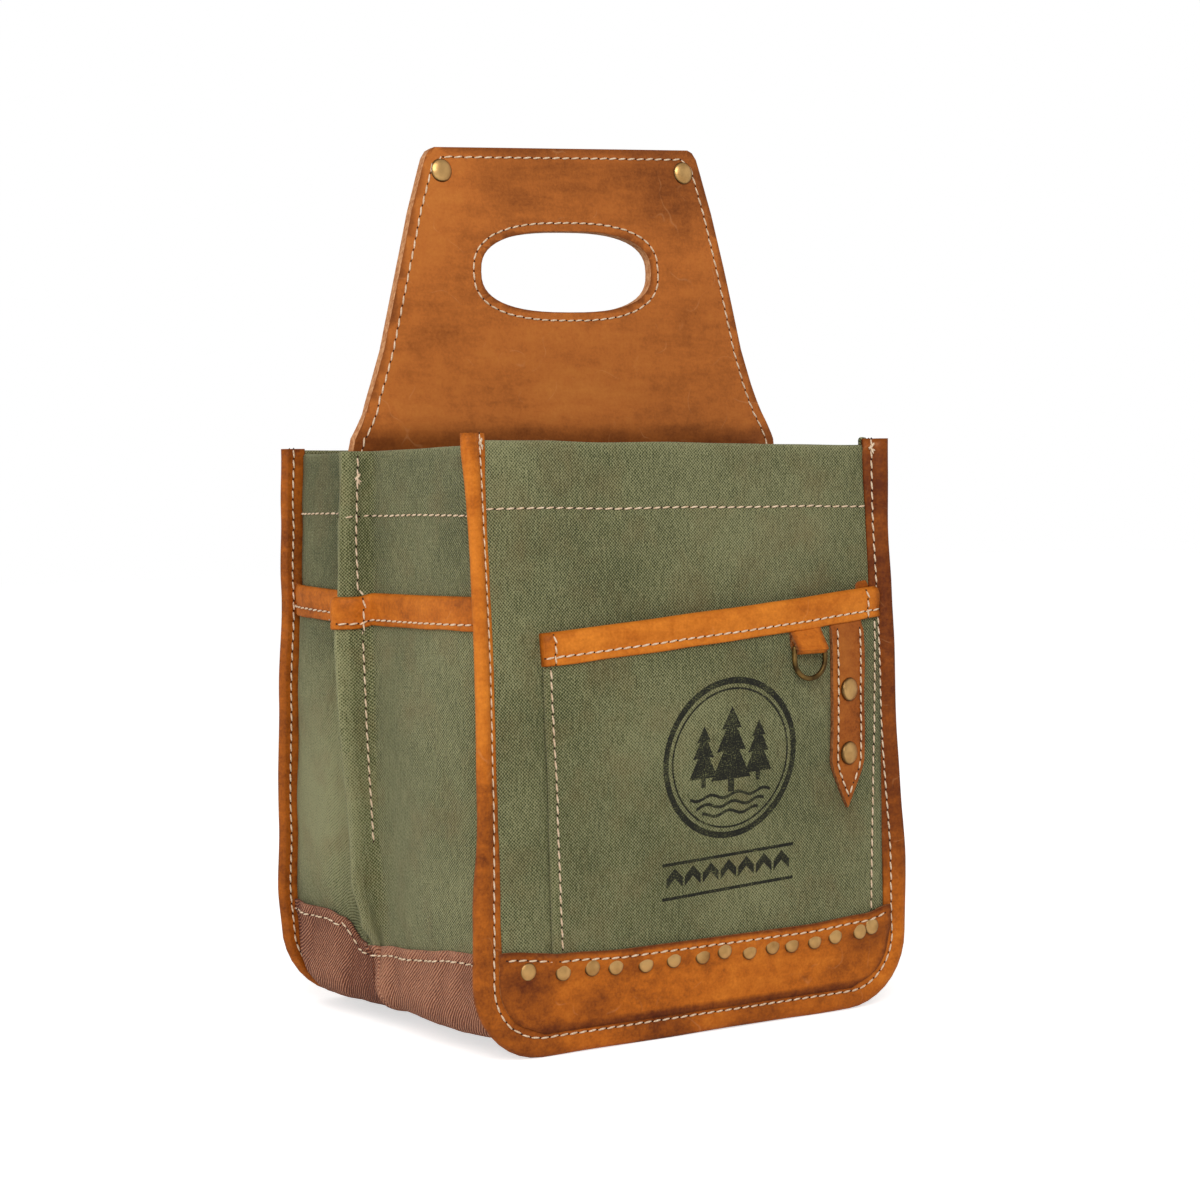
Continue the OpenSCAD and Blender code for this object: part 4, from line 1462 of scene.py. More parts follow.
@dataclass
class Bands:
    """A strip of leather across the foot of each panel, riveted at the front."""

    finishes: Finishes
    seams: Stitches
    leather: float = 1.6
    rivet: float = 3.6
    top: tuple[tuple[float, float], ...] = (
        (-93, 43.4), (-66, 40.8), (-38, 39.4), (52, 39.4), (84, 40.9), (98, 43.6),
    )
    rivets: tuple[tuple[float, float], ...] = (
        (-80.7, 35.0), (-65.7, 33.5), (-52.2, 33.8), (-41.0, 33.0), (-26.4, 32.2),
        (-12.9, 32.6), (1.4, 32.4), (12.1, 33.4), (25.2, 31.6), (36.8, 32.4),
        (46.9, 32.0), (58.9, 32.2), (69.5, 33.2), (82.6, 33.8), (88.9, 35.2),
    )

    def build(self) -> None:
        """Builds and sews both bands, and sets the rivets."""
        for face in Face:
            self._band(face)
        bm = bmesh.new()
        for x, z in self.rivets:
            spot, out = FORM.panel(Face.FRONT, x - 1.2, z, self.height(Face.FRONT, x, z) - 0.1)
            tilt = Vector((0.06 * ripple(4.2, x), 0, 0.06 * ripple(5.2, x)))
            dome(bm, (spot, (out + tilt).normalized()), self.rivet, 1.0)
        piece = piece_from(bm, "band_rivet_heads")
        dress(piece, "root", "antique_brass", self.finishes.bright)
        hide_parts("band_rivets")

    def height(self, face: Face, x: float, z: float) -> float:
        """How far the leather's face stands off the panel: it laps over the pocket's foot."""
        over = ease(x, -74.5, -70) * ease(z, 28, 36) if face is Face.FRONT else 0.0
        return self.leather + 0.4 + 2.2 * over

    def _band(self, face: Face) -> None:
        """Builds and sews one band.

        Args:
            face: Front or back.
        """

        def place(u: float, v: float) -> Spot:
            """Places a point of the band.

            Args:
                u: Share across.
                v: Share of the way up.

            Returns:
                The point and the way out there.
            """
            x = FORM.sway(40) + (2 * u - 1) * (FORM.half(face, 44) + 0.5)
            z = mix(FORM.BASE - 1.5, through(x, self.top), v)
            half = FORM.half(face, z) + 0.5
            x = FORM.sway(40) + (2 * u - 1) * half
            swell = 0.35 * ripple(7.1, x / 21, z / 8) + 0.5 * math.sin(math.pi * v)
            return FORM.panel(face, x, z, self.height(face, x, z) + swell * (1 - v))

        def worn(u: float, v: float) -> float:
            """Darkens the band's top edge and its two ends, paints shade along its foot, which tucks under
            the binding, and varies its tone across.

            Args:
                u: Share across.
                v: Share of the way up.

            Returns:
                The worn attribute's value.
            """
            tone = through(u, ((0.05, 0.4), (0.3, 0.1), (0.45, -0.8), (0.75, -0.2), (0.95, 0.3)))
            tone += 0.35 * ripple(3.7, u * 11, v * 2.5)
            # Painted shade along the foot, where the band tucks under the binding's lip
            foot, ends = 0.8 * ease(v, 0.13, 0.05), 0.6 * ease(abs(2 * u - 1), 0.95, 0.99)
            return max(tone, ease(v, 0.93, 1.0), foot, ends)

        piece = Sheet(face.name.lower() + "_foot_leather", 90, 16, place).build({"worn": worn})
        thicken(piece, self.leather, cut=True)
        dress(piece, "root", "tan_leather", self.finishes.tan, self.finishes.cut)
        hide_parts(face.name.lower() + "_band")
        line = []
        for i in range(81):
            x = mix(-91.5, 95, i / 80)
            z = through(x, self.top) - 3.0
            line.append(FORM.panel(face, x, z, self.height(face, x, z)))
        self.seams.run(line, 4.6)


@dataclass
class FrontPocket:
    """The slanting front pocket, its bound mouth, the riveted strap and the ring's leather loop."""

    finishes: Finishes
    seams: Stitches
    left: float = -72.6
    right: float = 95.5
    pouch: float = 4.6
    cloth: float = 1.7
    strap_x: float = 75.0
    strap_w: float = 18.0
    tip: float = 87.0
    shoulder: float = 107.0
    tucked: float = 168.0
    ring_x: float = 52.0

    def mouth(self, x: float) -> float:
        """Height of the pocket's mouth."""
        return mix(167.0, 180.2, (x + 73) / 166.5) + 0.5 * ripple(1.9, x / 31)

    def side(self, z: float) -> float:
        """The pocket's left edge at a height."""
        return mix(-70.2, -73.0, (z - 40) / 120) + 0.35 * ripple(8.3, z / 24)

    def front(self, x: float, z: float, grow: float = 0.0) -> Spot:
        """Finds a point of the pocket's outer face, which opens towards its mouth.

        Args:
            x: Place across.
            z: Height.
            grow: Distance outwards.

        Returns:
            The point and the way out there.
        """
        across = min(max((x - self.left) / (self.right - self.left), 0.0), 1.0)
        lift = ease(z, 45, 160) * math.sin(math.pi * across) ** 0.7
        wave = 0.45 * ripple(4.7, x / 26, z / 30) * math.sin(math.pi * across)
        return FORM.panel(Face.FRONT, x, z, 2.0 + self.pouch * lift + wave + grow)

    def build(self) -> None:
        """Builds the pocket and everything that hangs on it."""
        self._pouch()
        self._mouth()
        self._strap()
        self._loop()
        self._sew()

    def _pouch(self) -> None:
        """Builds the pocket's canvas."""

        def place(u: float, v: float) -> Spot:
            """Places a point of the canvas.

            Args:
                u: Share across.
                v: Share of the way up.

            Returns:
                The point and the way out there.
            """
            x = mix(-72, self.right, u)
            z = mix(36.5, self.mouth(x) - 1.0, v)
            x = mix(self.side(z), self.right, u)
            round_off = 1.1 * ease(u, 0.012, 0.0)
            return self.front(x, z, -round_off)

        def worn(u: float, v: float) -> float:
            """Pales the folded left edge."""
            return 0.38 + 0.7 * ease(u, 0.02, 0.0)

        piece = Sheet("front_pocket_canvas", 84, 60, place).build({"worn": worn})
        thicken(piece, self.cloth)
        dress(piece, "root", "olive_canvas", self.finishes.olive)
        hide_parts("front_pocket")

    def _mouth(self) -> None:
        """Builds the leather folded over the pocket's mouth."""
        slope = Vector((166.5, 0, 13.2)).normalized()
        up = Vector((-slope.z, 0, slope.x))
        ribs = []
        for i in range(57):
            x = mix(-73.8, 93.2, i / 56)
            spot, out = self.front(x, self.mouth(x))
            ribs.append(Rib(spot, up, out))
        core = -0.8

        def profile(run: float) -> Flat:
            """Draws the fold's section, fuller or flatter from place to place.

            Args:
                run: Distance along the mouth.

            Returns:
                Points out and up from the rib.
            """
            low = 0.45 * ripple(6.4, run / 17)
            puff = 1 + 0.12 * ripple(3.1, run / 21)
            section = [
                (-13.2, 0.0), (-13.2, 1.0), (-12.6, 1.45), (-11.2, 1.5), (-9.8, 1.2), (-8.2, 1.6),
                (-5.5, 2.2), (-2.8, 2.3), (-1.0, 1.6), (0.0, 0.1), (0.1, -1.0), (-0.8, -2.6),
                (-2.8, -3.6), (-5.5, -3.6), (-9.8, -3.2), (-13.2, -3.1), (-13.2, -1.8),
            ]
            points = []
            for out, up in section:
                shift = low if out < -12 else 0.0
                points.append((out + shift, core + (up - core) * (puff if out > -9 else 1.0)))
            return points

        def worn(spot: Vector, share: float) -> float:
            """Darkens the leather's lower edge and its two ends.

            Args:
                spot: A rib's place.
                share: Share of the way round the section.

            Returns:
                The worn attribute's value.
            """
            edge = 0.5 if share < 0.08 else 0.0
            ends = 0.5 * ease(abs(spot.x - 10), 78, 84)
            return -0.5 + 0.4 * ripple(5.3, spot.x / 16) + edge + ends

        piece = sweep("front_pocket_leather", ribs, profile, worn)
        dress(piece, "root", "tan_leather", self.finishes.tan)
        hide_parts("front_pocket_binding")
        line = [(rib.spot + rib.out * -9.8 + rib.up * 1.25, rib.up) for rib in ribs]
        self.seams.run(line, 4.3)
        for end, way in ((ribs[1], 1), (ribs[-3], -1)):
            rise = ((-0.9, 1.7), (-2.8, 2.6), (-5.5, 2.5), (-8.2, 1.9), (-11.2, 1.7), (-12.6, 1.6))
            line = [(end.point(out, up) + slope * (1.2 * way), end.up) for out, up in rise]
            self.seams.run(line, 3.4, 3.0)
        self._back_ply()

    def _back_ply(self) -> None:
        """Builds the end of the mouth's rear ply, which stands up behind the fold on the right."""

        def place(u: float, v: float) -> Spot:
            """Places a point of the ply.

            Args:
                u: Share across.
                v: Share of the way up.

            Returns:
                The point and the way out there.
            """
            x = mix(84.0, 94.0, u)
            z = self.mouth(x) + mix(-7.0, 2.6 + 0.9 * u - 1.2 * ease(u, 0.12, 0.0), v)
            spot = self.front(x, self.mouth(x), -2.4 - 0.5 * v)[0]
            return spot + Vector((0, 0, z - self.mouth(x))), Vector((0, -1, 0))

        piece = Sheet("front_pocket_leather_end", 12, 10, place).build({"worn": lambda u, v: 0.3})
        thicken(piece, self.cloth, cut=True)
        soften(piece, 0.35)
        dress(piece, "root", "tan_leather", self.finishes.tan, self.finishes.cut)

    def _edge(self, half: float, tip: float, top: float) -> Flat:
        """The strap's pointed outline at a half width, from its top left round to its top right."""
        right = [(half - 1.2, self.shoulder - 4), (half, self.shoulder), (half, top)]
        return [(-x, z) for x, z in reversed(right)] + [(0.0, tip)] + right

    def _strap(self) -> None:
        """Builds the pointed strap, sews it round and sets its two rivets."""
        half = self.strap_w / 2
        bm = bmesh.new()
        outline = self._edge(half, self.tip, self.tucked)
        corners = [bm.verts.new((x * MM, 0, z * MM)) for x, z in outline]
        bm.faces.new(corners)
        slice_up(bm, 3.0, 3.0)
        for vert in bm.verts:
            x, z = vert.co.x / MM, vert.co.z / MM
            curl = 0.5 * ripple(2.8, x / 9, z / 16) - 1.9 * ease(z, 161, 166.5)
            vert.co = at(self.front(self.strap_x + x, z, 2.3 + curl)[0])
        face_to(bm, Vector((0, -1, 0)))
        piece = piece_from(bm, "strap_leather")
        thicken(piece, 2.2, cut=True)
        soften(piece, 0.35)
        dress(piece, "root", "tan_leather", self.finishes.dark, self.finishes.cut)
        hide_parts("strap")
        path = self._edge(half - 2.6, self.tip + 5.2, 163)
        for (x0, z0), (x1, z1) in zip(path, path[1:]):
            line = []
            for i in range(13):
                x, z = self.strap_x + mix(x0, x1, i / 12), mix(z0, z1, i / 12)
                line.append(self.front(x, z, 2.35))
            self.seams.run(line, 4.0, 3.1)
        bm = bmesh.new()
        for z in (137.4, 110.5):
            spot, out = self.front(self.strap_x, z, 2.5)
            dome(bm, (spot, (out + Vector((0.24, 0, 0))).normalized()), RIVET, CROWN)
        heads = piece_from(bm, "strap_rivet_heads")
        dress(heads, "root", "antique_brass", self.finishes.bright)
        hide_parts("strap_rivets")

    def _loop(self) -> None:
        """Builds the folded leather loop that the ring hangs in."""
        axis = Vector((self.ring_x, -88.45, 156.13))
        top = self.front(self.ring_x, 168, 0.2)[0]
        lip = self.front(self.ring_x, 163.5, 0.9)[0]
        around = [top, lip]
        for i in range(9):
            angle = math.pi * i / 8
            around.append(axis + Vector((0, -2.6 * math.cos(angle), -2.6 * math.sin(angle))))
        around += [lip + Vector((0, 1.6, -2.0)), top + Vector((0, 1.0, 0))]

        def place(u: float, v: float) -> Spot:
            """Places a point of the loop.

            Args:
                u: Share across.
                v: Share of the way round the ring's bar.

            Returns:
                The point and the way out there.
            """
            spot, along = spline(around, v)
            wide = mix(8.4, 7.2, math.sin(math.pi * v))
            out = Vector((0, along.z, -along.y)).normalized()
            return spot + Vector(((2 * u - 1) * wide, 0, 0)) + out * 0.12 * ripple(3.9, u * 3, v * 5), out

        marks = {"worn": lambda u, v: 0.6 * ease(abs(2 * u - 1), 0.7, 1)}
        piece = Sheet("ring_loop_leather", 12, 36, place).build(marks)
        thicken(piece, 1.5, cut=True)
        soften(piece, 0.3)
        dress(piece, "root", "tan_leather", self.finishes.tan, self.finishes.cut)
        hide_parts("ring_tab")
        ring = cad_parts["d_ring"]
        for slot in ring.material_slots:
            slot.material = self.finishes.aged

    def _sew(self) -> None:
        """Sews the pocket's two upright edges."""
        line = []
        for i in range(51):
            z = mix(153, 42, i / 50)
            line.append(self.front(self.side(z) + mix(2.6, 4.2, i / 50), z, 0.0))
        self.seams.run(line, 4.4)
        line = [self.front(mix(90.9, 87.6, i / 50) + 1.4, mix(166, 42, i / 50), 0.0) for i in range(51)]
        self.seams.run(line, 4.4)


@dataclass
class Print:
    """A stock emblem in black ink on the front pocket: pines over water in a ring, and chevrons."""

    finishes: Finishes
    pocket: FrontPocket
    x: float = 14.0
    z: float = 112.0
    radius: float = 33.0

    def build(self) -> None:
        """Lays all the motifs out flat, then presses them on the pocket's cloth."""
        bm = bmesh.new()
        for outer, inner in ((self.radius, self.radius - 2.6), (self.radius - 4.2, self.radius - 5.0)):
            self._shape(bm, [self._round(outer), self._round(inner)])
        for x, size in ((-13.5, 0.82), (0.0, 1.15), (13.5, 0.82)):
            self._pine(bm, x, size)
        for row in range(3):
            reach, low = 20 - 3 * row, -14.5 - 3.6 * row
            wave = [(x, low + 0.9 * math.sin(x / 2.1 + row)) for x in range(-reach, reach + 1)]
            self._shape(bm, [wave + [(x, z - 1.3) for x, z in reversed(wave)]])
        for i in range(7):
            x = -27 + 9 * i
            chevron = [(x - 4, -46), (x, -42), (x + 4, -46), (x + 4, -50), (x, -46), (x - 4, -50)]
            self._shape(bm, [chevron])
        for low in (-39.5, -53.5):
            self._shape(bm, [[(-33, low), (33, low), (33, low - 1.3), (-33, low - 1.3)]])
        slice_up(bm, 2.0, 2.0)
        uv = bm.loops.layers.uv.new("cloth")
        for vert in bm.verts:
            x, z = self.x + vert.co.x / MM, self.z + vert.co.z / MM
            for loop in vert.link_loops:
                loop[uv].uv = (x, z)
            vert.co = at(self.pocket.front(x, z + 0.05 * x, 0.12)[0])
        face_to(bm, Vector((0, -1, 0)))
        piece = piece_from(bm, "pocket_print")
        dress(piece, "root", "olive_canvas", self.finishes.ink)

    def _round(self, radius: float, steps: int = 72) -> Flat:
        """Points round a circle."""
        turns = [2 * math.pi * i / steps for i in range(steps)]
        return [(radius * math.cos(a), radius * math.sin(a)) for a in turns]

    def _pine(self, bm: bmesh.types.BMesh, x: float, size: float) -> None:
        """Adds a pine of three tiers on a trunk.

        Args:
            bm: The mesh to add to.
            x: Place across.
            size: Its size against the drawn one.
        """
        half = [
            (0.0, 21.0), (4.2, 13.0), (2.2, 13.2), (6.2, 5.0), (3.2, 5.3), (8.4, -5.0),
            (1.3, -5.0), (1.3, -9.5),
        ]
        right = [(x + a * size, -3 + b * size) for a, b in half]
        left = [(x - a * size, -3 + b * size) for a, b in reversed(half[1:])]
        self._shape(bm, [right + left])

    def _shape(self, bm: bmesh.types.BMesh, rings: Sequence[Sequence[tuple[float, float]]]) -> None:
        """Fills one outline, or the space between two.

        Args:
            bm: The mesh to add to.
            rings: The outer outline and, if there is one, the inner one, in millimetres.
        """
        edges = []
        for ring in rings:
            chain = [bm.verts.new((x * MM, 0, z * MM)) for x, z in ring]
            edges += [bm.edges.new((vert, chain[(i + 1) % len(chain)])) for i, vert in enumerate(chain)]
        bmesh.ops.triangle_fill(bm, edges=edges, use_beauty=True, use_dissolve=False)


@dataclass
class SidePockets:
    """A flat pocket on each gusset that follows the ridge, with a bound mouth."""

    finishes: Finishes
    seams: Stitches
    lift: float = 1.5

    def mouth(self, u: float) -> float:
        """Height of the mouth across the gusset."""
        rear = mix(184.4, 180.6, ease(u, 0.97, 0.55))
        return rear if u > 0.5 else 182.0 - 1.2 * ease(u, 0.3, 0.38) + 0.4 * ripple(2.6, u * 6)

    def build(self) -> None:
        """Builds and sews both pockets."""
        for side in Side:
            self._pouch(side)
            self._mouth(side)

    def _pouch(self, side: Side) -> None:
        """Builds one pocket's canvas.

        Args:
            side: Left or right.
        """

        def place(u: float, v: float) -> Spot:
            """Places a point of the canvas.

            Args:
                u: Share across.
                v: Share of the way up.

            Returns:
                The point and the way out there.
            """
            wide = mix(0.015, 0.985, u)
            low = through(FORM.depth(wide), FORM.BROWN_EDGE) - 4.0
            z = mix(low, self.mouth(wide) - 2, v)
            return FORM.wall(side, wide, z, self.lift - 0.35)

        def worn(u: float, v: float) -> float:
            """Paints a highlight on the ridge's fold, pales its flanks, leaves the front half darker towards
            the mouth and paints light on the back half.

            Args:
                u: Share across.
                v: Share of the way up.

            Returns:
                The worn attribute's value.
            """
            # Painted highlight along the ridge's fold
            fold = 1.8 * math.exp(-(((u - 0.5) / 0.028) ** 2))
            near = mix(0.75, 0.45, v)
            # Painted light on the back half, brightest at mid-height
            far = 1.65 * math.sin(math.pi * min(v * 1.15, 1.0)) + 0.25
            ridge = 1.2 * ease(u, 0.37, 0.42) * ease(u, 0.53, 0.49)
            return max(fold, ridge, mix(near, far, ease(u, 0.55, 0.64)))

        piece = Sheet(side.name.lower() + "_pocket_canvas", 120, 48, place).build({"worn": worn})
        thicken(piece, 1.0)
        dress(piece, "root", "olive_canvas", self.finishes.olive)
        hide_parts(side.name.lower() + "_side_pocket")

    def _mouth(self, side: Side) -> None:
        """Builds and sews the leather along one pocket's mouth.

        Args:
            side: Left or right.
        """
        ribs = []
        for i in range(101):
            u = mix(0.02, 0.98, i / 100)
            spot, out = FORM.wall(side, u, self.mouth(u), self.lift)
            foot = FORM.wall(side, u, self.mouth(u) - 13.0, self.lift)[0]
            ribs.append(Rib(spot, (spot - foot).normalized(), out))

        def profile(run: float) -> Flat:
            """Draws the fold's section.

            Args:
                run: Distance along the mouth.

            Returns:
                Points out and up from the rib.
            """
            low = 0.4 * ripple(4.1 * side.value, run / 15)
            base = [
                (-13.2, -0.6), (-13.2, 0.8), (-12.6, 1.2), (-10.8, 1.2), (-9.4, 0.95), (-7.6, 1.3),
                (-5.0, 1.6), (-2.4, 1.6), (-0.6, 1.1), (0.1, 0.1), (-0.4, -0.9), (-2.4, -1.5),
                (-7.6, -1.5), (-13.2, -1.4),
            ]
            return [(a + (low if a < -12 else 0.0), b) for a, b in base]

        piece = sweep(side.name.lower() + "_pocket_leather", ribs, profile)
        dress(piece, "root", "tan_leather", self.finishes.tan)
        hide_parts(side.name.lower() + "_side_pocket_binding")
        for part in (range(48), range(53, 101)):
            line = []
            for i in part:
                lift = 1.15 + 0.4 * (abs(i - 50) < 28)
                line.append((ribs[i].point(-10.9 if i < 50 else -9.4, lift), ribs[i].up))
            self.seams.run(line, 4.3)


def slice_up(bm: bmesh.types.BMesh, across: float, along: float) -> None:
    """Cuts a flat outline in the x-z plane by even lines, so that it can bend.

    Args:
        bm: The mesh, in metres.
        across: Distance between cuts in x, in millimetres.
        along: Distance between cuts in z, in millimetres.
    """
    for axis, step in ((0, across), (2, along)):
        low = min(vert.co[axis] for vert in bm.verts)
        high = max(vert.co[axis] for vert in bm.verts)
        count = int((high - low) / (step * MM))
        for i in range(1, count + 1):
            normal, spot = Vector((0, 0, 0)), Vector((0, 0, 0))
            normal[axis] = 1.0
            spot[axis] = low + (high - low) * i / (count + 1)
            everything = bm.verts[:] + bm.edges[:] + bm.faces[:]
            bmesh.ops.bisect_plane(bm, geom=everything, plane_co=spot, plane_no=normal, dist=1e-7)


def face_to(bm: bmesh.types.BMesh, way: Vector) -> None:
    """Turns all the faces of an open sheet towards one side.

    Args:
        bm: The sheet.
        way: The direction to face.
    """
    bm.normal_update()
    if sum(face.normal.dot(way) * face.calc_area() for face in bm.faces) < 0:
        bmesh.ops.reverse_faces(bm, faces=bm.faces)


@dataclass
class Handle:
    """The tall leather handle: one stiff, sewn slab that tapers to the top and runs down inside."""

    finishes: Finishes
    seams: Stitches
    thick: float = 4.4
    top: float = 370.8
    hole_x: float = 43.2
    hole_z: float = 17.5
    hole_up: float = 317.5
    roundness: float = 2.6
    inset: float = 4.2
    foot: float = 243.0
    lean: float = 0.047
    skew: float = 0.0496

    def outline(self, inset: float = 0.0) -> Flat:
        """Draws the right half of the outline above the rim, or a line inside it.

        Args:
            inset: Distance inside the edge, in millimetres.

        Returns:
            Points across and up, from the rim up.
        """
        edge = (
            (107.6, 238.0), (106.3, 245.5), (100.5, 256.5), (95.8, 269.0), (90.8, 284.0), (87.0, 300.0),
            (82.2, 320.0), (76.4, 343.0), (70.6, 361.5), (68.9, 366.6), (66.8, 369.6), (64.4, self.top),
        )
        if not inset:
            return list(edge)
        moved = [(x - 0.96 * inset, z - 0.28 * inset) for x, z in edge[:-3]]
        return moved + [(66.6 - inset, self.top - inset - 1.5), (64.6 - inset, self.top - inset)]

    def hole(self, grow: float = 0.0, steps: int = 56) -> Flat:
        """Draws the hand hole, a rounded oval.

        Args:
            grow: Distance outside its edge, in millimetres.
            steps: Number of points.

        Returns:
            Points across and up.
        """
        ring = []
        for i in range(steps):
            a = 2 * math.pi * i / steps
            power = 2 / self.roundness
            x = (self.hole_x + grow) * math.copysign(abs(math.cos(a)) ** power, math.cos(a))
            z = (self.hole_z + grow) * math.copysign(abs(math.sin(a)) ** power, math.sin(a))
            ring.append((x - 0.5, self.hole_up + z))
        return ring

    def hang(self, w: float, z: float, grow: float = 0.0, face: Face = Face.FRONT) -> Spot:
        """Finds a point of the slab as it hangs in the ridges.

        Args:
            w: Place across.
            z: Height.
            grow: Distance from its middle.
            face: The face to move towards.

        Returns:
            The point and the way out of that face.
        """
        tall = max(z - self.foot, 0.0)
        lift = self.skew * w * min(tall / 125, 1.0)
        y = RIDGE_Y + self.lean * tall - 1.6 * math.exp(-(((z - 250) / 9) ** 2))
        y += 0.7 * ripple(6.3, w / 60, z / 50) * ease(z, 250, 290)
        slope = Vector((0, face.value, -self.lean * face.value if z > 246 else 0)).normalized()
        return Vector((FORM.sway(z) + w, y, z + lift)) + slope * grow, slope

    def build(self) -> None:
        """Builds the slab, sews it and sets its rivets."""
        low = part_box("handle_tail_front")[0].z / MM
        right = self.outline()
        tail = [(103.5, low), (104.0, 66.0), (108.4, 84.0)]
        half = tail + right
        loop = half + [(-x, z) for x, z in reversed(half)]
        bm = bmesh.new()
        for ring in (loop, self.hole()):
            chain = [bm.verts.new((x * MM, 0, z * MM)) for x, z in ring]
            for i, vert in enumerate(chain):
                bm.edges.new((vert, chain[(i + 1) % len(chain)]))
        bmesh.ops.triangle_fill(bm, edges=bm.edges[:], use_beauty=True, use_dissolve=False)
        slice_up(bm, 5.0, 4.0)
        bmesh.ops.remove_doubles(bm, verts=bm.verts, dist=0.05 * MM)
        uv = bm.loops.layers.uv.new("cloth")
        worn = bm.verts.layers.float.new("worn")
        for vert in bm.verts:
            x, z = vert.co.x / MM, vert.co.z / MM
            for corner in vert.link_loops:
                corner[uv].uv = (x, z)
            # Painted light keeps the left end lighter, towards the lamps on the left; further right the slab
            # darkens towards the top and in random clouds
            cloud = 0.3 * ease(z, 320, 362) + 0.6 * ease(x, -75, -25) + 0.25 * ripple(2.7, x / 38, z / 27)
            # Painted shade at the foot, where the slab goes down into the bag
            foot = 0.75 * ease(z, 255, 243)
            vert[worn] = max(foot, 0.7 if vert.is_boundary else 0.0, cloud - 0.6)
            vert.co = at(self.hang(x, z)[0])
        face_to(bm, Vector((0, -1, 0)))
        piece = piece_from(bm, "handle_leather_slab")
        thicken(piece, self.thick, 0.0, cut=True)
        soften(piece, 0.7, 3)
        for finish in (self.finishes.hide, self.finishes.pale_cut):
            piece.data.materials.append(finish)
        self._hinge(piece)
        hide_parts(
            "handle_front", "handle_back", "handle_tail_front", "handle_tail_back", "handle_board",
        )
        LOG.info("%s: %d faces", piece.name, len(piece.data.polygons))
        self._sew()
        bm = bmesh.new()
        for side in Side:
            for face in Face:
                spot, out = self.hang(side.value * 61.5, 360.8, self.thick / 2 - 0.1, face)
                dome(bm, (spot, out), RIVET, CROWN)
        heads = piece_from(bm, "handle_rivet_heads")
        dress(heads, "handle", "antique_brass", self.finishes.bright)
        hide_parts("handle_rivets")

    def _hinge(self, piece: bpy.types.Object) -> None:
        """Bakes a piece's placement into its mesh."""
        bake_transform(piece)

    def _sew(self) -> None:
        """Sews the slab's edges and round its hole, on both faces."""
        sewing = Stitches("handle")
        right = self.outline(self.inset)
        for face in Face:
            for side in Side:
                line = []
                for (x0, z0), (x1, z1) in zip(right, right[1:]):
                    for i in range(8):
                        w, z = side.value * mix(x0, x1, i / 8), mix(z0, z1, i / 8)
                        line.append(self.hang(w, z, self.thick / 2, face))
                line.append(self.hang(side.value * right[-1][0], right[-1][1], self.thick / 2, face))
                sewing.run(line, 4.7, 3.7, 0.1)
            x, z = right[-1]
            line = [self.hang(mix(-x, x, i / 50), z, self.thick / 2, face) for i in range(51)]
            sewing.run(line, 4.7, 3.7, 0.1)
            ring = self.hole(self.inset - 0.6, 72)
            line = [self.hang(a, b, self.thick / 2, face) for a, b in ring + ring[:1]]
            sewing.run(line, 4.2, 3.3, 0.1)
        for piece in sewing.build(self.finishes, "handle_leather"):
            self._hinge(piece)


@dataclass
class Inside:
    """What the rim hides: the divider, the four cross dividers, the base board and its liner."""

    finishes: Finishes
    cell: float = 34.8
    cross_top: float = 168.0

    def build(self) -> None:
        """Builds the canvas dividers and the liner over the board."""
        self._centre()
        for side in Side:
            for face in Face:
                self._cross(side, face)
        self._liner()
        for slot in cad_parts["base_board"].material_slots:
            slot.material = self.finishes.board

    def _centre(self) -> None:
        """Builds the sheet between the two rows of bottles."""

        def place(u: float, v: float) -> Spot:
            """Places a point of the sheet.

            Args:
                u: Share across.
                v: Share of the way up.

            Returns:
                The point and the way out there.
            """
            z = mix(15, 232, v)
            x = FORM.sway(z) + (2 * u - 1) * (through(z, FORM.ROOT) - 1.5)
            return Vector((x, RIDGE_Y + 1.3 + 0.5 * ripple(4.9, x / 30, z / 40), z)), Vector((0, 1, 0))

        piece = Sheet("centre_divider_canvas", 50, 50, place).build({"worn": lambda u, v: 0.0})
        thicken(piece, 2.6)
        dress(piece, "root", "olive_canvas", self.finishes.olive)
        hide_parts("centre_divider")

    def _cross(self, side: Side, face: Face) -> None:
        """Builds one cross divider, sewn to the middle and to the panel by turned edges.

        Args:
            side: Left or right.
            face: Front or back.
        """
        near = RIDGE_Y + face.value * 3.4
        far = face.value * 76.2

        def place(u: float, v: float) -> Spot:
            """Places a point of the divider.

            Args:
                u: Share of the way from the middle to the panel.
                v: Share of the way up.

            Returns:
                The point and the way out there.
            """
            z = mix(15.2, self.cross_top - 3.5 * math.sin(math.pi * u), v)
            y = mix(near, far, ease(u, 0.06, 0.94) if 0.06 < u < 0.94 else float(u >= 0.94))
            turned = 4.5 * (max(0.0, 0.06 - u) + max(0.0, u - 0.94)) / 0.06
            x = FORM.sway(z) + side.value * (self.cell + turned)
            x += 1.3 * ripple(2.1 * side.value, y / 30, z / 50)
            return Vector((x, y, z)), Vector((side.value, 0, 0))

        name = f"{face.name.lower()}_{side.name.lower()}_divider"
        piece = Sheet(name + "_canvas", 40, 40, place).build({"worn": lambda u, v: 0.8 * ease(v, 0.985, 1)})
        thicken(piece, 1.2, 0.0)
        dress(piece, "root", "olive_canvas", self.finishes.olive)
        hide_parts(name)

    def _liner(self) -> None:
        """Builds the loose canvas over the base board."""

        def place(u: float, v: float) -> Spot:
            """Places a point of the liner."""
            x, y = mix(-84, 86, u), mix(-75, 75, v)
            return Vector((x, y, 14.4 + 0.35 * ripple(5.9, x / 24, y / 24))), Vector((0, 0, 1))

        piece = Sheet("base_liner_canvas", 40, 40, place).build({"worn": lambda u, v: 0.3})
        thicken(piece, 1.0)
        dress(piece, "root", "brown_canvas", self.finishes.brown)
        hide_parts("base_liner")


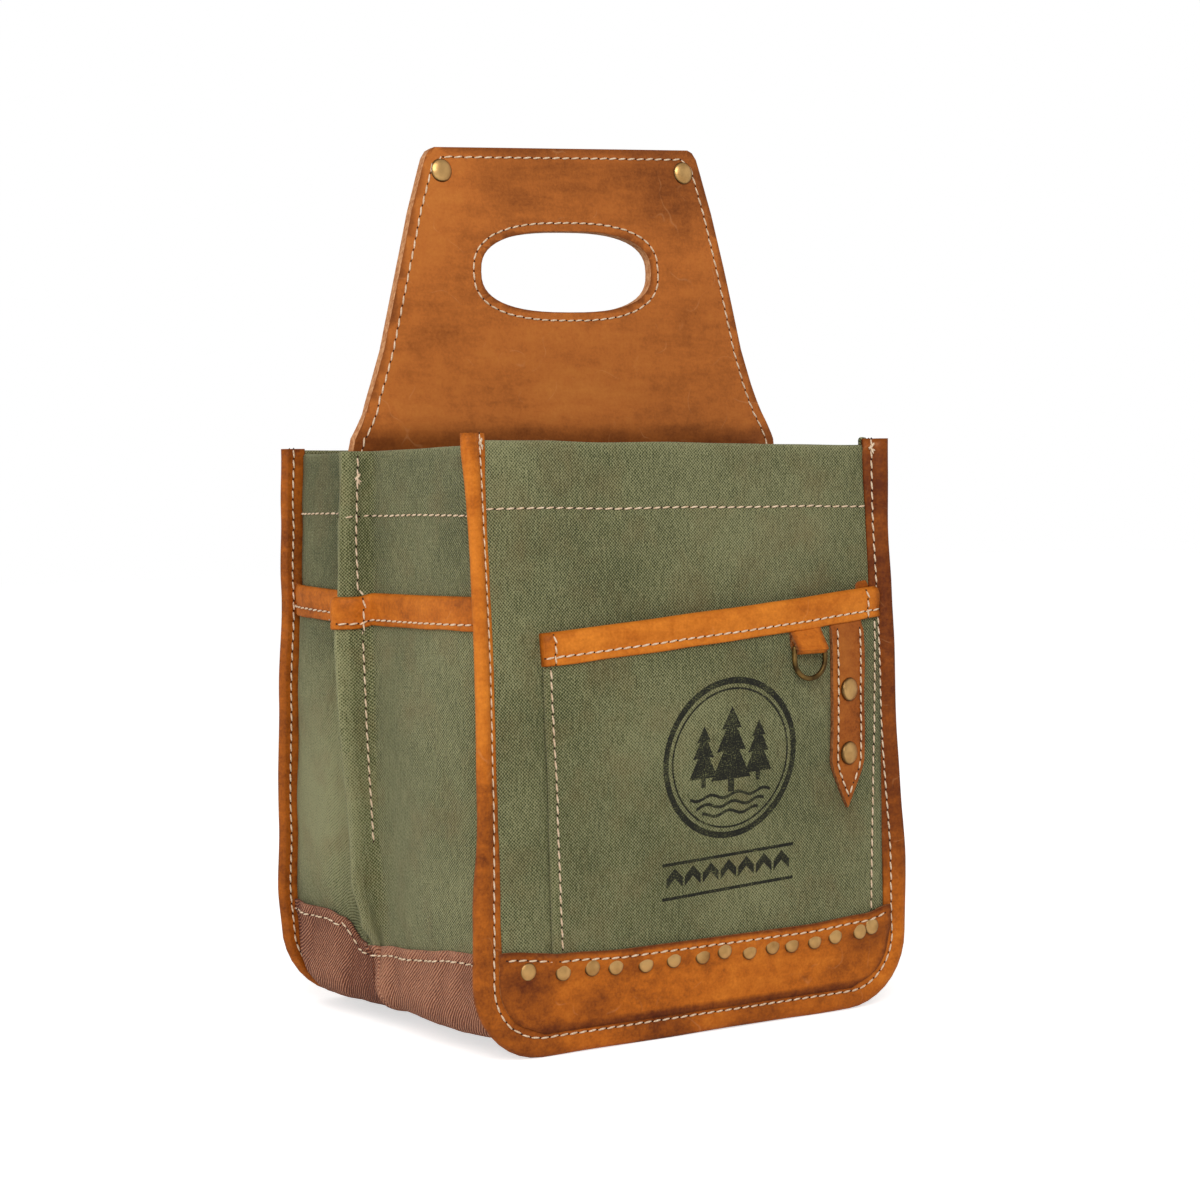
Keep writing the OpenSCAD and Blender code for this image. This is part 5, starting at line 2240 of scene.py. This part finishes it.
@dataclass(frozen=True)
class Studio:
    """The floor, the lights and the camera, as the photograph shows them."""

    eye: tuple[float, float, float] = (-575.49, -908.0, 218.8)
    heading: float = 32.62
    dip: float = -2.31
    roll: float = -0.93
    pixels: float = 2483.0
    picture: float = 1200.0
    sensor: float = 36.0
    glow: float = 0.42
    lift: float = 0.62

    def build(self) -> None:
        """Sets the whole scene round the carrier."""
        self._camera()
        self._floor()
        self._lamp("key", Vector((-0.8, -1.35, 1.15)), 0.16, 1.1, 19.5)
        self._lamp("fill", Vector((1.35, -1.0, 0.75)), 0.15, 1.4, 1.5)
        self._lamp("side", Vector((-1.6, 0.7, 0.6)), 0.12, 1.2, 7.0)
        bpy.context.scene.view_settings.view_transform = "Standard"
        world = bpy.data.worlds.new("studio")
        world.use_nodes = True
        sky = Nodes(world.node_tree)
        seen = (sky.node("LightPath"), "Is Camera Ray")
        level = sky.node("MapRange", links={"Value": seen, "To Min": self.glow, "To Max": 1.0})
        light = sky.node("Background", links={"Color": linear("#ffffff"), "Strength": level})
        sky.node("OutputWorld", links={"Surface": light})
        bpy.context.scene.world = world

    def _camera(self) -> None:
        """Adds the camera that was fitted to the photograph."""
        az, pitch, roll = (math.radians(v) for v in (self.heading, self.dip, self.roll))
        level = Vector((math.sin(az), math.cos(az), 0))
        right = Vector((math.cos(az), -math.sin(az), 0))
        ahead = level * math.cos(pitch) + Vector((0, 0, 1)) * math.sin(pitch)
        up = right.cross(ahead)
        across = right * math.cos(roll) + up * math.sin(roll)
        above = up * math.cos(roll) - right * math.sin(roll)
        lens = bpy.data.cameras.new("photo_camera")
        lens.sensor_width = self.sensor
        lens.lens = self.pixels / self.picture * self.sensor
        lens.clip_start = 0.01
        camera = bpy.data.objects.new("photo_camera", lens)
        bpy.context.scene.collection.objects.link(camera)
        turn = Matrix((across, above, -ahead)).transposed().to_4x4()
        camera.matrix_world = Matrix.Translation(at(Vector(self.eye))) @ turn
        bpy.context.scene.camera = camera

    def _floor(self) -> None:
        """Adds a plain pale floor."""
        bm = bmesh.new()
        bmesh.ops.create_grid(bm, x_segments=2, y_segments=2, size=6.0)
        floor = piece_from(bm, "pale_floor", False)
        paint = Paint("pale_paper")
        seen = (paint.node("LightPath"), "Is Camera Ray")
        lift = paint.node("Math", TIMES, {0: seen, 1: self.lift})
        floor.data.materials.append(paint.finish({
            "Base Color": linear("#f6f5f3"),
            "Roughness": 0.95,
            "Emission Color": linear("#ffffff"),
            "Emission Strength": lift,
        }))

    def _lamp(self, name: str, place: Vector, height: float, size: float, power: float) -> None:
        """Adds a soft square lamp that looks at the carrier's middle.

        Args:
            name: Its name.
            place: Where it stands, in metres.
            height: Height of the point that it looks at.
            size: Its width.
            power: Its power in watts.
        """
        light = bpy.data.lights.new(name, "AREA")
        light.size = size
        light.energy = power
        lamp = bpy.data.objects.new(name, light)
        bpy.context.scene.collection.objects.link(lamp)
        turn = (Vector((0, 0, height)) - place).to_track_quat("-Z", "Y").to_matrix().to_4x4()
        lamp.matrix_world = Matrix.Translation(place) @ turn


def main() -> None:
    """Builds the carrier's parts in order."""
    logging.basicConfig(level=logging.INFO, format="%(name)s: %(message)s")
    finishes = Finishes()
    seams = Stitches("body")
    Studio().build()
    Body(finishes, seams).build()
    Base(finishes, seams).build()
    Bindings(finishes, seams).build()
    Bands(finishes, seams).build()
    pocket = FrontPocket(finishes, seams)
    pocket.build()
    Print(finishes, pocket).build()
    SidePockets(finishes, seams).build()
    Handle(finishes, seams).build()
    Inside(finishes).build()
    for piece in seams.build(finishes):
        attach(piece, "root")


if __name__ == "__main__":
    main()
